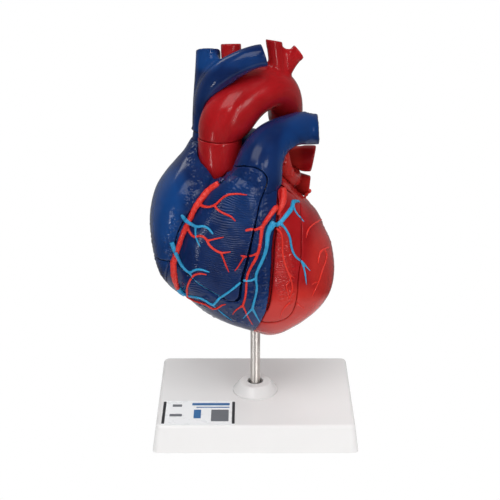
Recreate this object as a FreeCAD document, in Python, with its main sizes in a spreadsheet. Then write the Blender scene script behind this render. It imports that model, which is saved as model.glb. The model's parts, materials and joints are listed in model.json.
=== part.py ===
import FreeCAD, Part
import math
import os
import re

import Sketcher
from FreeCAD import Rotation, Vector

# Life-size teaching heart on a stand, in millimetres.
# Origin: centre of the base's underside, on the axis of the support rod.
# +Z is up, -Y is the front (sternal) side, +X is the heart's own left side.

doc = FreeCAD.newDocument("anatomy_heart")
sheet = doc.addObject("Spreadsheet::Sheet", "Sizes")

SIZES = [
    # stand
    ("base_width", 165.0), ("base_depth", 130.0), ("base_height", 23.0),
    ("base_taper", 7.5), ("base_corner", 5.0), ("base_edge", 3.0), ("base_wall", 3.0),
    ("rib_overlap", 1.0),
    ("boss_foot_dia", 37.0), ("boss_top_dia", 26.0), ("boss_rise", 9.0),
    ("boss_round", 1.5), ("boss_foot", 1.6), ("rib_thick", 2.4), ("cover_thick", 2.5),
    ("cover_gap", 0.3),
    ("grip_dia", 14.0), ("grip_depth", 1.2), ("grip_inset", 16.0),
    ("screw_dia", 3.0), ("screw_head_dia", 5.6), ("screw_head_high", 1.6),
    ("screw_long", 11.0), ("screw_inset", 36.0), ("pillar_dia", 8.0),
    # rod and its bearing in the boss
    ("rod_dia", 8.0), ("rod_top", 124.0), ("rod_low", 5.0), ("rod_chamfer", 0.8),
    ("running_gap", 0.05), ("face_gap", 0.1), ("bush_dia", 12.0), ("bush_low", 9.0),
    ("bush_sunk", 3.5), ("recess_dia", 13.0), ("collar_dia", 11.4), ("collar_high", 2.4),
    ("collar_edge", 0.5), ("ring_dia", 11.0), ("ring_high", 2.0),
    ("socket_dia", 13.0), ("socket_low", 84.0), ("socket_roof", 4.0),
    # heart, overall
    ("heart_width", 154.0), ("heart_depth", 100.0), ("heart_low", 79.0),
    ("heart_shoulder", 246.0), ("seam_gap", 0.3), ("septum_wall", 8.0),
    # great vessels
    ("vessel_wall", 2.4), ("mouth_recess", 3.0),
    ("aorta_radius", 17.2), ("arch_radius", 14.5), ("neck_artery_radius", 6.0),
    ("cava_radius", 11.0), ("head_vein_radius", 9.0), ("trunk_radius", 17.5),
    ("lung_artery_radius", 12.0), ("lung_vein_radius", 8.5), ("lower_cava_radius", 10.0),
    # valves and their rigging
    ("tricuspid_radius", 13.0), ("mitral_radius", 12.0), ("valve_ring", 1.6),
    ("valve_clearance", 0.9), ("leaflet_thick", 0.9), ("cord_dia", 1.0),
    ("papillary_radius", 4.5), ("pocket_opening", 1.5), ("door_before", 18.0),
    ("door_after", 14.0),
    # coronary vessels in relief on the surface
    ("coronary_radius", 3.0), ("cardiac_vein_radius", 2.5),
]
for row, (alias, number) in enumerate(SIZES, 1):
    sheet.set("A%d" % row, alias)
    sheet.set("B%d" % row, str(number))
    sheet.setAlias("B%d" % row, alias)
doc.recompute()
ALIASES = {alias for alias, _ in SIZES}

sub_parts = []


def size(alias):
    return float(sheet.get(alias))


def bound(text):
    """Expression text with the sheet's name set before each of its aliases."""
    return re.sub(
        r"[a-z_]+", lambda m: "Sizes." + m[0] if m[0] in ALIASES else m[0], text
    )


# ---------------------------------------------------------------- parametric helpers


def plane(body, role):
    return next(f for f in body.Origin.OriginFeatures if f.Role == role)


def new_body(label):
    body = doc.addObject("PartDesign::Body", label)
    body.Label = label
    sub_parts.append(body)
    return body


def new_sketch(body, role, name, level=None):
    sketch = body.newObject("Sketcher::SketchObject", name)
    sketch.AttachmentSupport = [(plane(body, role), "")]
    sketch.MapMode = "FlatFace"
    if level:
        sketch.setExpression("AttachmentOffset.Base.z", bound(level))
    return sketch


def drive(sketch, constraint, expression):
    index = sketch.addConstraint(constraint)
    sketch.setExpression("Constraints[%d]" % index, bound(expression))


def outline(sketch, corners):
    """Closed run of straight lines; each corner is a pair of expressions."""
    count = len(corners)
    first = sketch.GeometryCount
    rough = [
        Vector(10 * math.cos(2 * math.pi * i / count), 10 * math.sin(2 * math.pi * i / count))
        for i in range(count + 1)
    ]
    for i in range(count):
        sketch.addGeometry(Part.LineSegment(rough[i], rough[i + 1]))
    for i in range(count):
        after = first + (i + 1) % count
        sketch.addConstraint(Sketcher.Constraint("Coincident", first + i, 2, after, 1))
    for i, corner in enumerate(corners):
        for kind, text in zip(("DistanceX", "DistanceY"), corner):
            drive(sketch, Sketcher.Constraint(kind, -1, 1, first + i, 1, 1.0), text)


def rectangle(sketch, wide, deep, across="0", along="0"):
    low_x, high_x = ("%s %s (%s) / 2" % (across, sign, wide) for sign in "-+")
    low_y, high_y = ("%s %s (%s) / 2" % (along, sign, deep) for sign in "-+")
    outline(sketch, [(low_x, low_y), (high_x, low_y), (high_x, high_y), (low_x, high_y)])


def circle(sketch, dia, across="0", along="0"):
    index = sketch.addGeometry(Part.Circle(Vector(1, 1, 0), Vector(0, 0, 1), 2))
    drive(sketch, Sketcher.Constraint("Diameter", index, 4.0), dia)
    for kind, text in (("DistanceX", across), ("DistanceY", along)):
        drive(sketch, Sketcher.Constraint(kind, -1, 1, index, 3, 1.0), text)


def extruded(body, kind, sketch, name, length, taper=None, flip=False):
    feature = body.newObject("PartDesign::" + kind, name)
    feature.Profile = sketch
    feature.setExpression("Length", bound(length))
    if taper:
        feature.setExpression("TaperAngle", bound(taper))
    feature.Reversed = flip
    return feature


def turned(body, name, corners):
    """Solid turned about the Z axis from (radius, height) corners."""
    sketch = new_sketch(body, "XZ_Plane", name + "_profile")
    outline(sketch, corners)
    feature = body.newObject("PartDesign::Revolution", name)
    feature.Profile = sketch
    feature.ReferenceAxis = (sketch, ["V_Axis"])
    feature.Angle = 360
    return feature


def rounded(body, feature, name, radius, test):
    """Fillet on those edges of a feature for which test(edge) holds."""
    names = ["Edge%d" % i for i, e in enumerate(feature.Shape.Edges, 1) if test(e)]
    fillet = body.newObject("PartDesign::Fillet", name)
    fillet.Base = (feature, names)
    fillet.setExpression("Radius", bound(radius))
    doc.recompute()
    return fillet


def four_corners(across, along):
    return [(sx + across, sy + along) for sx in ("", "-") for sy in ("", "-")]


# ------------------------------------------------------------------------- the stand

PILLAR_AT = ("(base_width / 2 - screw_inset)", "(base_depth / 2 - screw_inset)")
GRIP_AT = ("(base_width / 2 - grip_inset)", "(base_depth / 2 - grip_inset)")
CAVITY = "%s - 2 * base_wall - 2 * base_height * tan(base_taper)"
HUB_DIA = "bush_dia + 2 * base_wall"
HUB_RADIUS = "bush_dia / 2 + base_wall"
BUSH_TOP = "base_height + boss_rise - bush_sunk"
EDGE_TOLERANCE = 1e-3


def stand_base():
    """Moulded shell with drafted sides, ribs, screw pillars and a hole for the boss."""
    body = new_body("stand_base")
    foot = new_sketch(body, "XY_Plane", "foot")
    rectangle(foot, "base_width", "base_depth")
    block = extruded(body, "Pad", foot, "block", "base_height", "-base_taper")
    doc.recompute()
    tall = size("base_height")
    block = rounded(
        body, block, "corners", "base_corner",
        lambda edge: edge.BoundBox.ZLength > tall / 2,
    )
    rounded(
        body, block, "top_edge", "base_edge",
        lambda edge: edge.BoundBox.ZMin > tall - EDGE_TOLERANCE,
    )
    hollow = new_sketch(body, "XY_Plane", "hollow")
    rectangle(hollow, CAVITY % "base_width", CAVITY % "base_depth")
    extruded(body, "Pocket", hollow, "cavity", "base_height - base_wall", flip=True)
    webs = new_sketch(body, "XY_Plane", "webs", "bush_low")
    rectangle(webs, CAVITY % "base_width + rib_overlap", "rib_thick")
    extruded(body, "Pad", webs, "long_rib", "base_height - bush_low - rib_overlap")
    cross = new_sketch(body, "XY_Plane", "cross", "bush_low")
    rectangle(cross, "rib_thick", CAVITY % "base_depth + rib_overlap")
    extruded(body, "Pad", cross, "cross_rib", "base_height - bush_low - rib_overlap")
    for i, (across, along) in enumerate(four_corners(*PILLAR_AT)):
        pillar = new_sketch(body, "XY_Plane", "pillar%d" % i, "cover_thick")
        circle(pillar, "pillar_dia", across, along)
        name = "screw_pillar%d" % i
        extruded(body, "Pad", pillar, name, "base_height - cover_thick - rib_overlap")
    for i, (across, along) in enumerate(four_corners(*PILLAR_AT)):
        pilot = new_sketch(body, "XY_Plane", "pilot%d" % i)
        circle(pilot, "screw_dia", across, along)
        extruded(body, "Pocket", pilot, "screw_hole%d" % i, "screw_long", flip=True)
    way = new_sketch(body, "XY_Plane", "boss_way")
    circle(way, HUB_DIA)
    extruded(body, "Pocket", way, "boss_hole", "base_height", flip=True)


def rod_boss():
    """Turned boss that stands on the base, its neck pressed down between the ribs."""
    body = new_body("rod_boss")
    crown = "base_height + boss_rise"
    boss = turned(
        body, "boss",
        [
            ("bush_dia / 2", "bush_low"), (HUB_RADIUS, "bush_low"),
            (HUB_RADIUS, "base_height"), ("boss_foot_dia / 2", "base_height"),
            ("boss_foot_dia / 2", "base_height + boss_foot"), ("boss_top_dia / 2", crown),
            ("recess_dia / 2", crown), ("recess_dia / 2", BUSH_TOP),
            ("bush_dia / 2", BUSH_TOP),
        ],
    )
    doc.recompute()
    level = size("base_height") + size("boss_rise")
    wide = size("boss_top_dia")
    rounded(
        body, boss, "boss_edge", "boss_round",
        lambda edge: (
            edge.BoundBox.ZMin > level - EDGE_TOLERANCE
            and edge.BoundBox.XLength > wide - EDGE_TOLERANCE
        ),
    )


def base_cover():
    """Flat closing plate under the shell, with seats for screws and grip pads."""
    body = new_body("base_cover")
    flat = new_sketch(body, "XY_Plane", "flat")
    span = CAVITY + " - 2 * cover_gap"
    rectangle(flat, span % "base_width", span % "base_depth")
    extruded(body, "Pad", flat, "plate", "cover_thick")
    for i, (across, along) in enumerate(four_corners(*GRIP_AT)):
        seat = new_sketch(body, "XY_Plane", "grip_seat%d" % i)
        circle(seat, "grip_dia", across, along)
        extruded(body, "Pocket", seat, "grip_pocket%d" % i, "grip_depth", flip=True)
    for i, (across, along) in enumerate(four_corners(*PILLAR_AT)):
        hole = new_sketch(body, "XY_Plane", "screw_way%d" % i)
        circle(hole, "screw_dia", across, along)
        extruded(body, "Pocket", hole, "screw_pass%d" % i, "cover_thick", flip=True)
        sink = new_sketch(body, "XY_Plane", "screw_sink%d" % i)
        circle(sink, "screw_head_dia", across, along)
        extruded(body, "Pocket", sink, "head_sink%d" % i, "screw_head_high", flip=True)


def compound(label, members):
    group = doc.addObject("Part::Compound", label)
    group.Label = label
    group.Links = members
    sub_parts.append(group)


def cylinder(name, dia, height, across="0", along="0", level="0"):
    piece = doc.addObject("Part::Cylinder", name)
    piece.setExpression("Radius", bound("(%s) / 2" % dia))
    piece.setExpression("Height", bound(height))
    for axis, text in (("x", across), ("y", along), ("z", level)):
        piece.setExpression("Placement.Base." + axis, bound(text))
    return piece


def grip_pads():
    members = []
    for i, (across, along) in enumerate(four_corners(*GRIP_AT)):
        name = "grip_pad%d" % i
        members.append(cylinder(name, "grip_dia", "grip_depth", across, along))
    compound("grip_pads", members)


def cover_screws():
    members = []
    for i, (across, along) in enumerate(four_corners(*PILLAR_AT)):
        where = (across, along)
        head = cylinder("head%d" % i, "screw_head_dia", "screw_head_high", *where)
        shank = cylinder("shank%d" % i, "screw_dia", "screw_long", *where)
        whole = doc.addObject("Part::Fuse", "screw%d" % i)
        whole.Base = head
        whole.Tool = shank
        members.append(whole)
    compound("cover_screws", members)


def rod_bush():
    """Bearing bush pressed into the boss, with the rod's running bore."""
    body = new_body("rod_bush")
    bore = "rod_dia / 2 + running_gap"
    turned(
        body, "bush",
        [
            (bore, "bush_low"), ("bush_dia / 2", "bush_low"),
            ("bush_dia / 2", BUSH_TOP), (bore, BUSH_TOP),
        ],
    )


def stand_rod():
    """Straight polished rod with chamfered ends."""
    body = new_body("stand_rod")
    turned(
        body, "rod",
        [
            ("0", "rod_low"), ("rod_dia / 2 - rod_chamfer", "rod_low"),
            ("rod_dia / 2", "rod_low + rod_chamfer"),
            ("rod_dia / 2", "rod_top - rod_chamfer"),
            ("rod_dia / 2 - rod_chamfer", "rod_top"), ("0", "rod_top"),
        ],
    )


def rod_collar():
    """Shoulder ring pressed on the rod, turning on the bush inside the boss recess."""
    body = new_body("rod_collar")
    low = BUSH_TOP + " + face_gap"
    high = low + " + collar_high"
    turned(
        body, "collar",
        [
            ("rod_dia / 2", low), ("collar_dia / 2", low),
            ("collar_dia / 2", high + " - collar_edge"),
            ("collar_dia / 2 - collar_edge", high),
            ("rod_dia / 2", high),
        ],
    )


def retaining_ring():
    """Clip ring on the rod below the bush."""
    body = new_body("retaining_ring")
    high = "bush_low - face_gap"
    low = high + " - ring_high"
    turned(
        body, "ring",
        [
            ("rod_dia / 2", low), ("ring_dia / 2", low),
            ("ring_dia / 2", high), ("rod_dia / 2", high),
        ],
    )


def rod_socket():
    """Blind sleeve moulded into the heart, which drops over the rod."""
    body = new_body("rod_socket")
    bore = "rod_dia / 2 + running_gap"
    roof = "rod_top + socket_roof"
    turned(
        body, "sleeve",
        [
            (bore, "socket_low"), ("socket_dia / 2", "socket_low"),
            ("socket_dia / 2", roof), ("0", roof), ("0", "rod_top"), (bore, "rod_top"),
        ],
    )


# ---------------------------------------------------------------- form of the heart

# Lines of the heart: each station is a level with the left, right, front and back
# extents of the section there, drawn for a heart LINES_WIDTH wide, LINES_DEPTH deep
# and reaching from LINES_LOW to LINES_SHOULDER.
LINES_WIDTH, LINES_DEPTH = 154.0, 100.0
LINES_LOW, LINES_SHOULDER = 79.0, 246.0
REACH = 400.0
CRUMB = 0.01

VENTRICLES = [
    (79, 9, 16, -10, 3), (82.5, 0, 23, -18, 11), (88.5, -12, 33, -27, 22),
    (97.5, -34, 45.5, -36, 33), (107.5, -49, 55.5, -42, 41), (118, -59, 61, -46, 45),
    (128, -65, 63, -48, 48), (140, -69, 63, -49, 49.5), (150, -70, 61.5, -50, 49.5),
    (160, -69, 58.5, -51, 48), (170, -67, 54, -51.5, 45), (180, -64, 50, -51.5, 41),
    (190, -58, 42, -51, 34), (200, -49, 33, -50.5, 26), (210, -39, 26, -50, 17),
    (218, -30, 20, -49, 5), (227, -14.5, 18.5, -44.5, -12.5),
]
RIGHT_ATRIUM = [
    (111, -56, -44, -8, 18), (118, -67, -43, -17, 27), (127.5, -75, -42, -24, 33),
    (138, -79.5, -40, -30, 38), (155, -82.5, -39, -34, 42), (172, -84, -37, -36, 44),
    (190, -82.5, -33, -38, 42), (205, -77, -28, -38, 38), (218, -67.5, -27, -31, 32),
    (230, -57, -27, -17, 26), (240, -50.5, -28, -5, 22),
]
RIGHT_CHAMBER = [
    (112, -31, -12, -30, -6), (125, -41, -10, -37, 4), (145, -50, -8, -41, 14),
    (165, -52, -6, -42, 20), (178, -49, -4, -42, 6), (190, -42, 0, -41, -16),
    (200, -29, 4, -40, -20), (210, -14, 9, -40, -19), (219, -11, 11, -41, -18),
]
ATRIAL_CHAMBER = [
    (126, -72, -50, -14, 24), (145, -78, -46, -26, 33), (170, -80, -43, -29, 37),
    (195, -76, -38, -28, 34), (212, -66, -36, -22, 28), (224, -56, -34, -12, 22),
]
LEFT_ATRIUM = [
    (189, -12, 14, 28, 44), (196, -26, 27, 20, 52), (205, -34, 34, 16, 56),
    (214, -36, 36, 15, 57), (223, -30, 30, 19, 54), (230, -17, 17, 28, 46),
]
LEFT_ATRIAL_CHAMBER = [
    (196, -18, 20, 24, 47), (204, -28, 28, 20, 51), (212, -30, 30, 20, 52),
    (219, -22, 22, 26, 47),
]
LEFT_CHAMBER = [
    (95, 15, 33, -14, 8), (106, 12, 42, -24, 16), (125, 10, 49, -32, 22),
    (145, 9, 49, -35, 24), (165, 9, 44, -34, 22), (183, 10, 36, -27, 16),
]
SECTION_FULLNESS = 2.3
SECTION_POINTS = 16


def lines(x, y, z):
    """A point of the lines plan, brought to the heart's set width, depth and height."""
    rise = (size("heart_shoulder") - size("heart_low")) / (LINES_SHOULDER - LINES_LOW)
    return Vector(
        x * size("heart_width") / LINES_WIDTH,
        y * size("heart_depth") / LINES_DEPTH,
        size("heart_low") + (z - LINES_LOW) * rise,
    )


def closed_curve(points):
    curve = Part.BSplineCurve()
    curve.interpolate(points, PeriodicFlag=True)
    return Part.Wire([curve.toShape()])


def section(level, left, right, front, back):
    """Rounded closed curve at one level, fuller than an ellipse."""
    points = []
    for i in range(SECTION_POINTS):
        turn = 2 * math.pi * (i + 0.5) / SECTION_POINTS
        along = math.copysign(abs(math.cos(turn)) ** (2 / SECTION_FULLNESS), math.cos(turn))
        up = math.copysign(abs(math.sin(turn)) ** (2 / SECTION_FULLNESS), math.sin(turn))
        x = (left + right) / 2 + along * (right - left) / 2
        y = (front + back) / 2 + up * (back - front) / 2
        points.append(lines(x, y, level))
    return closed_curve(points)


def skinned(stations):
    return Part.makeLoft([section(*station) for station in stations], True, False)


def pipe(route, mouth=0.0):
    """Round tube through (point, radius) stops; a mouth depth recesses its far end."""
    points = [point for point, _ in route]
    wires = []
    last = points[1] - points[0]
    side = last.cross(Vector(0, 1, 0.2))
    for i, (point, radius) in enumerate(route):
        ahead = points[min(i + 1, len(points) - 1)] - points[max(i - 1, 0)]
        side = Rotation(last, ahead).multVec(side)
        last = ahead
        ring = Part.Circle(point, ahead, radius)
        ring.XAxis = side
        wires.append(Part.Wire([ring.toShape()]))
    tube = Part.makeLoft(wires, True, False)
    if mouth:
        end, radius = route[-1]
        inward = last.normalize() * -mouth
        tube = tube.cut(
            Part.makeCylinder(radius - size("vessel_wall"), 2 * mouth, end + inward, last)
        )
    return tube


def beyond(point, normal):
    """Half space on the side of a plane to which its normal points."""
    box = Part.makeBox(2 * REACH, 2 * REACH, REACH, Vector(-REACH, -REACH, 0))
    box.rotate(Vector(0, 0, 0), *turn_from_z(normal))
    box.translate(point)
    return box


def turn_from_z(normal):
    turn = Rotation(Vector(0, 0, 1), normal)
    return turn.Axis, math.degrees(turn.Angle)


def spread(points, distance):
    """Closed outline of (x, z) points moved outwards by a distance."""
    area = sum(
        a[0] * b[1] - b[0] * a[1] for a, b in zip(points, points[1:] + points[:1])
    )
    sense = 1 if area > 0 else -1
    moved = []
    for i, (x, z) in enumerate(points):
        before, after = points[i - 1], points[(i + 1) % len(points)]
        dx, dz = after[0] - before[0], after[1] - before[1]
        long = math.hypot(dx, dz)
        moved.append((x + sense * distance * dz / long, z - sense * distance * dx / long))
    return moved


def wall_prism(points, level_y, way, distance=0.0):
    """Outline in a plane of constant y, grown by a distance and run along a way."""
    corners = [Vector(p.x, 0, p.z) for p in (lines(x, 0, z) for x, z in points)]
    grown = spread([(p.x, p.z) for p in corners], distance)
    start = -REACH / 4 * way
    ring = [Vector(x, level_y, z) + start for x, z in grown]
    return Part.Face(closed_curve(ring)).extrude(way * REACH / 2)


# Outline of the right ventricle's removable wall, seen from straight ahead.
RIGHT_WALL = [
    (-61.5, 152), (-62.5, 162), (-61.5, 172), (-58, 182), (-53, 191), (-48, 198.5),
    (-43, 205.5), (-37.5, 211), (-32, 214.5), (-27, 217.5), (-22.5, 222), (-18, 228),
    (-11, 232.5), (-3, 233.5), (4, 231), (8, 225.5), (6.5, 216), (3.3, 208),
    (1.4, 199.5), (-1, 187.5), (-3.4, 176), (-7.6, 156), (-10.4, 145), (-12, 133.5),
    (-13.5, 126.5), (-18, 123.8), (-26.5, 127.3), (-35, 131.5), (-43.5, 136.3),
    (-51.5, 142), (-57.5, 147),
]
# Outline of the left ventricle's removable wall, in the plane of its front.
LEFT_WALL = [
    (42.3, 196), (38.7, 187.5), (36.8, 176), (36, 160), (34.7, 150), (33.8, 142),
    (33.2, 127), (31.8, 117), (28.5, 108.5), (21, 104), (12, 103.5), (4, 105.5),
    (-1, 112), (0, 130), (2, 155), (5, 180), (9, 205), (14, 216), (21, 216.5),
    (30, 210), (37.5, 204),
]
# Line of the front groove between the ventricles, from the top down.
GROOVE = [
    (18.5, 232), (17.2, 202), (15.2, 190), (12.5, 178), (11.3, 162), (11, 144),
    (10, 129), (8, 113), (6.2, 103), (5.8, 95), (7, 86), (10, 78), (14, 66),
]
GROOVE_FRONT = -45.0
RIGHT_WALL_WAY = Vector(0, -1, 0)
LEFT_WALL_WAY = Vector(0.371, -0.928, 0).normalize()
ATRIUM_WALL_WAY = Vector(-0.8, -0.6, 0)
RIGHT_WALL_BACK = (Vector(-62, -10, 160), Vector(-0.313, -0.95, 0))
LEFT_WALL_BACK = (Vector(24, -24.9, 150), LEFT_WALL_WAY)
ATRIUM_WALL_BACK = (Vector(-47.5, 0, 180), ATRIUM_WALL_WAY)
ATRIUM_WALL_FOOT = (Vector(-84, 0, 147), Vector(-0.09, 0.12, 1))
ATRIUM_FLOOR = (Vector(-48, 0, 163), Vector(-0.91, 0.41, 0.4))


def moved_plane(seat, distance):
    """Half space beyond a plane that is shifted back along its normal."""
    point, normal = seat
    unit = Vector(normal).normalize()
    place = lines(point.x, point.y, point.z)
    return beyond(place - unit * distance, unit)


def left_of_groove(distance=0.0):
    """Region on the heart's left of the groove, grown by a distance."""
    way = LEFT_WALL_WAY
    front = lines(0, GROOVE_FRONT, 0).y
    line = [lines(x, 0, z) for x, z in GROOVE]
    start = [Vector(p.x - distance, front, p.z) - way * REACH / 4 for p in line]
    curve = Part.BSplineCurve()
    curve.interpolate(start)
    far_low = start[-1] + Vector(REACH, 0, 0)
    far_high = Vector(far_low.x, start[0].y, start[0].z)
    sides = [
        Part.makeLine(start[-1], far_low), Part.makeLine(far_low, far_high),
        Part.makeLine(far_high, start[0]),
    ]
    return Part.Face(Part.Wire([curve.toShape()] + sides)).extrude(way * REACH / 2)


def solid(label, shape):
    """Keep a hand-formed shape as a sub-part of the document."""
    piece = doc.addObject("Part::Feature", label)
    piece.Label = label
    piece.Shape = shape
    sub_parts.append(piece)
    return piece


def less(shape, *others):
    """Cut, then drop the crumbs that thin corners leave beyond the main solids."""
    left = shape.cut(list(others))
    largest = max(piece.Volume for piece in left.Solids)
    kept = [piece for piece in left.Solids if piece.Volume > CRUMB * largest]
    return kept[0] if len(kept) == 1 else Part.makeCompound(kept)


def run(*stops):
    """Route of (x, y, z, radius alias, share of it) stops on the lines plan."""
    return [(lines(x, y, z), size(alias) * share) for x, y, z, alias, share in stops]


# Vessel routes: stops of (x, y, z, radius, share of that radius) on the lines plan.
AORTA = run(
    (-18, -1, 190, "aorta_radius", 0.85), (-21, -4, 204, "aorta_radius", 0.93),
    (-26, -7, 222, "aorta_radius", 1.0), (-27.5, -9, 238, "aorta_radius", 1.0),
    (-27.5, -9, 250, "aorta_radius", 1.0),
)
ARCH = run(
    (-27.5, -9, 240, "aorta_radius", 1.0), (-27, -9, 250, "aorta_radius", 1.03),
    (-22.5, -9, 260, "aorta_radius", 1.15), (-14.5, -7, 270, "aorta_radius", 1.14),
    (-3.5, -2, 278.5, "aorta_radius", 1.06), (8, 4, 282, "arch_radius", 1.18),
    (17, 12, 278, "arch_radius", 1.06), (22, 20, 268, "arch_radius", 1.0),
    (23.5, 27, 258, "arch_radius", 0.96), (24, 30, 250, "arch_radius", 0.93),
)
ARCH_BRANCHES = [
    run(
        (-15, -1, 282, "neck_artery_radius", 1.35), (-18, 2, 299, "neck_artery_radius", 1.3),
        (-19, 6, 315.5, "neck_artery_radius", 1.3),
    ),
    run(
        (16.5, 5, 286, "neck_artery_radius", 1.15), (15.5, 5, 304, "neck_artery_radius", 1.0),
        (13.8, 5, 318.5, "neck_artery_radius", 1.05),
    ),
    run(
        (18, 10, 283, "neck_artery_radius", 1.15), (25, 9, 298.5, "neck_artery_radius", 0.95),
        (33, 8, 309.5, "neck_artery_radius", 1.0),
    ),
]
CAVA_ROOT = run(
    (-41, 9, 216, "cava_radius", 0.9), (-40, 9, 230, "cava_radius", 1.0),
    (-38.5, 10, 241, "cava_radius", 1.0), (-38.5, 10, 250, "cava_radius", 1.0),
)
CAVA = run(
    (-38.5, 10, 240, "cava_radius", 1.0), (-38.5, 10, 256, "cava_radius", 1.0),
    (-37.5, 10, 280, "cava_radius", 0.95), (-36.5, 10, 310, "cava_radius", 0.86),
)
HEAD_VEIN = run(
    (-38, 8, 262, "head_vein_radius", 1.15), (-35, 0, 280, "head_vein_radius", 1.18),
    (-28, -8, 293, "head_vein_radius", 1.14), (-15, -14, 304, "head_vein_radius", 1.06),
    (-3, -16, 310, "head_vein_radius", 0.98), (8, -16, 312.3, "head_vein_radius", 0.95),
)
LOWER_CAVA = run(
    (-49, 18, 142, "lower_cava_radius", 1.0), (-50, 26, 124, "lower_cava_radius", 1.0),
    (-51, 31, 112, "lower_cava_radius", 1.0), (-51, 33, 103, "lower_cava_radius", 1.0),
)
TRUNK = run(
    (-8, -16, 178, "trunk_radius", 0.9), (-3, -24, 198, "trunk_radius", 1.1),
    (0, -28.5, 216, "trunk_radius", 1.14), (2.8, -28.5, 230, "trunk_radius", 1.05),
    (8.3, -22.5, 242, "trunk_radius", 0.92), (18.5, -14, 249, "lung_artery_radius", 1.15),
    (30, -5, 251, "lung_artery_radius", 1.04), (42, 3, 249, "lung_artery_radius", 1.0),
)
RIGHT_LUNG_ARTERY = run(
    (12, -10, 239, "lung_artery_radius", 0.8), (-1, 15, 236, "lung_artery_radius", 0.8),
    (-16, 29, 234, "lung_artery_radius", 0.8), (-31, 34, 234, "lung_artery_radius", 0.8),
    (-45, 35, 234, "lung_artery_radius", 0.8),
)
LEFT_AURICLE = run(
    (27, 24, 208, "lung_vein_radius", 0.9), (29, 12, 206, "lung_vein_radius", 0.85),
    (26, -1, 211, "lung_vein_radius", 0.8),
    (22.5, -10, 221, "lung_vein_radius", 0.76), (21, -13, 231, "lung_vein_radius", 0.66),
    (21.5, -12, 239, "lung_vein_radius", 0.45),
)
LUNG_VEINS = [
    run(
        (16, 36, 216, "lung_vein_radius", 1.1), (31, 26, 218, "lung_vein_radius", 1.15),
        (43, 22.5, 219, "lung_vein_radius", 1.25),
    ),
    run(
        (16, 38, 200, "lung_vein_radius", 1.0), (29, 29, 198, "lung_vein_radius", 1.0),
        (39, 22, 197, "lung_vein_radius", 1.0),
    ),
    run(
        (-18, 42, 213, "lung_vein_radius", 1.0), (-37, 48, 212, "lung_vein_radius", 0.95),
        (-50, 51, 211, "lung_vein_radius", 0.95),
    ),
    run(
        (-18, 44, 196, "lung_vein_radius", 1.0), (-37, 51, 193, "lung_vein_radius", 0.95),
        (-50, 54, 191, "lung_vein_radius", 0.95),
    ),
]
RIGHT_PAPILLARIES = [
    run(
        (-23, -12, 107, "papillary_radius", 1.3), (-26, -9, 121, "papillary_radius", 1.0),
        (-30, -3, 136, "papillary_radius", 0.8), (-32, 0, 143, "papillary_radius", 0.35),
    ),
    run(
        (-8, -2, 118, "papillary_radius", 1.3), (-15, 0, 128, "papillary_radius", 1.0),
        (-20, 2, 138, "papillary_radius", 0.75), (-22, 4, 144, "papillary_radius", 0.35),
    ),
]
LEFT_PAPILLARIES = [
    run(
        (17, 4, 92, "papillary_radius", 1.6), (16, 5, 115, "papillary_radius", 1.3),
        (15, 7, 140, "papillary_radius", 1.0), (16, 7, 153, "papillary_radius", 0.4),
    ),
    run(
        (36, 2, 92, "papillary_radius", 1.6), (36, 3, 115, "papillary_radius", 1.3),
        (34, 5, 138, "papillary_radius", 1.0), (31, 5, 151, "papillary_radius", 0.4),
    ),
]
TRICUSPID_CENTRE = (-40.8, 16, 163)
TRICUSPID_WAY = Vector(0.846, -0.381, -0.372).normalize()
MITRAL_CENTRE = (14, 14, 192)
MITRAL_WAY = Vector(0.4, -0.625, -0.67).normalize()
# Leaflets: slit between neighbours in degrees; depth and mouth as shares of the radius.
LEAFLET_SLIT, LEAFLET_DEPTH, LEAFLET_MOUTH = 8.0, 0.85, 0.4
POCKETS, TRICUSPID_LEAFLETS, MITRAL_LEAFLETS = 3, 3, 2
CORD_FAN = 50.0


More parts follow.
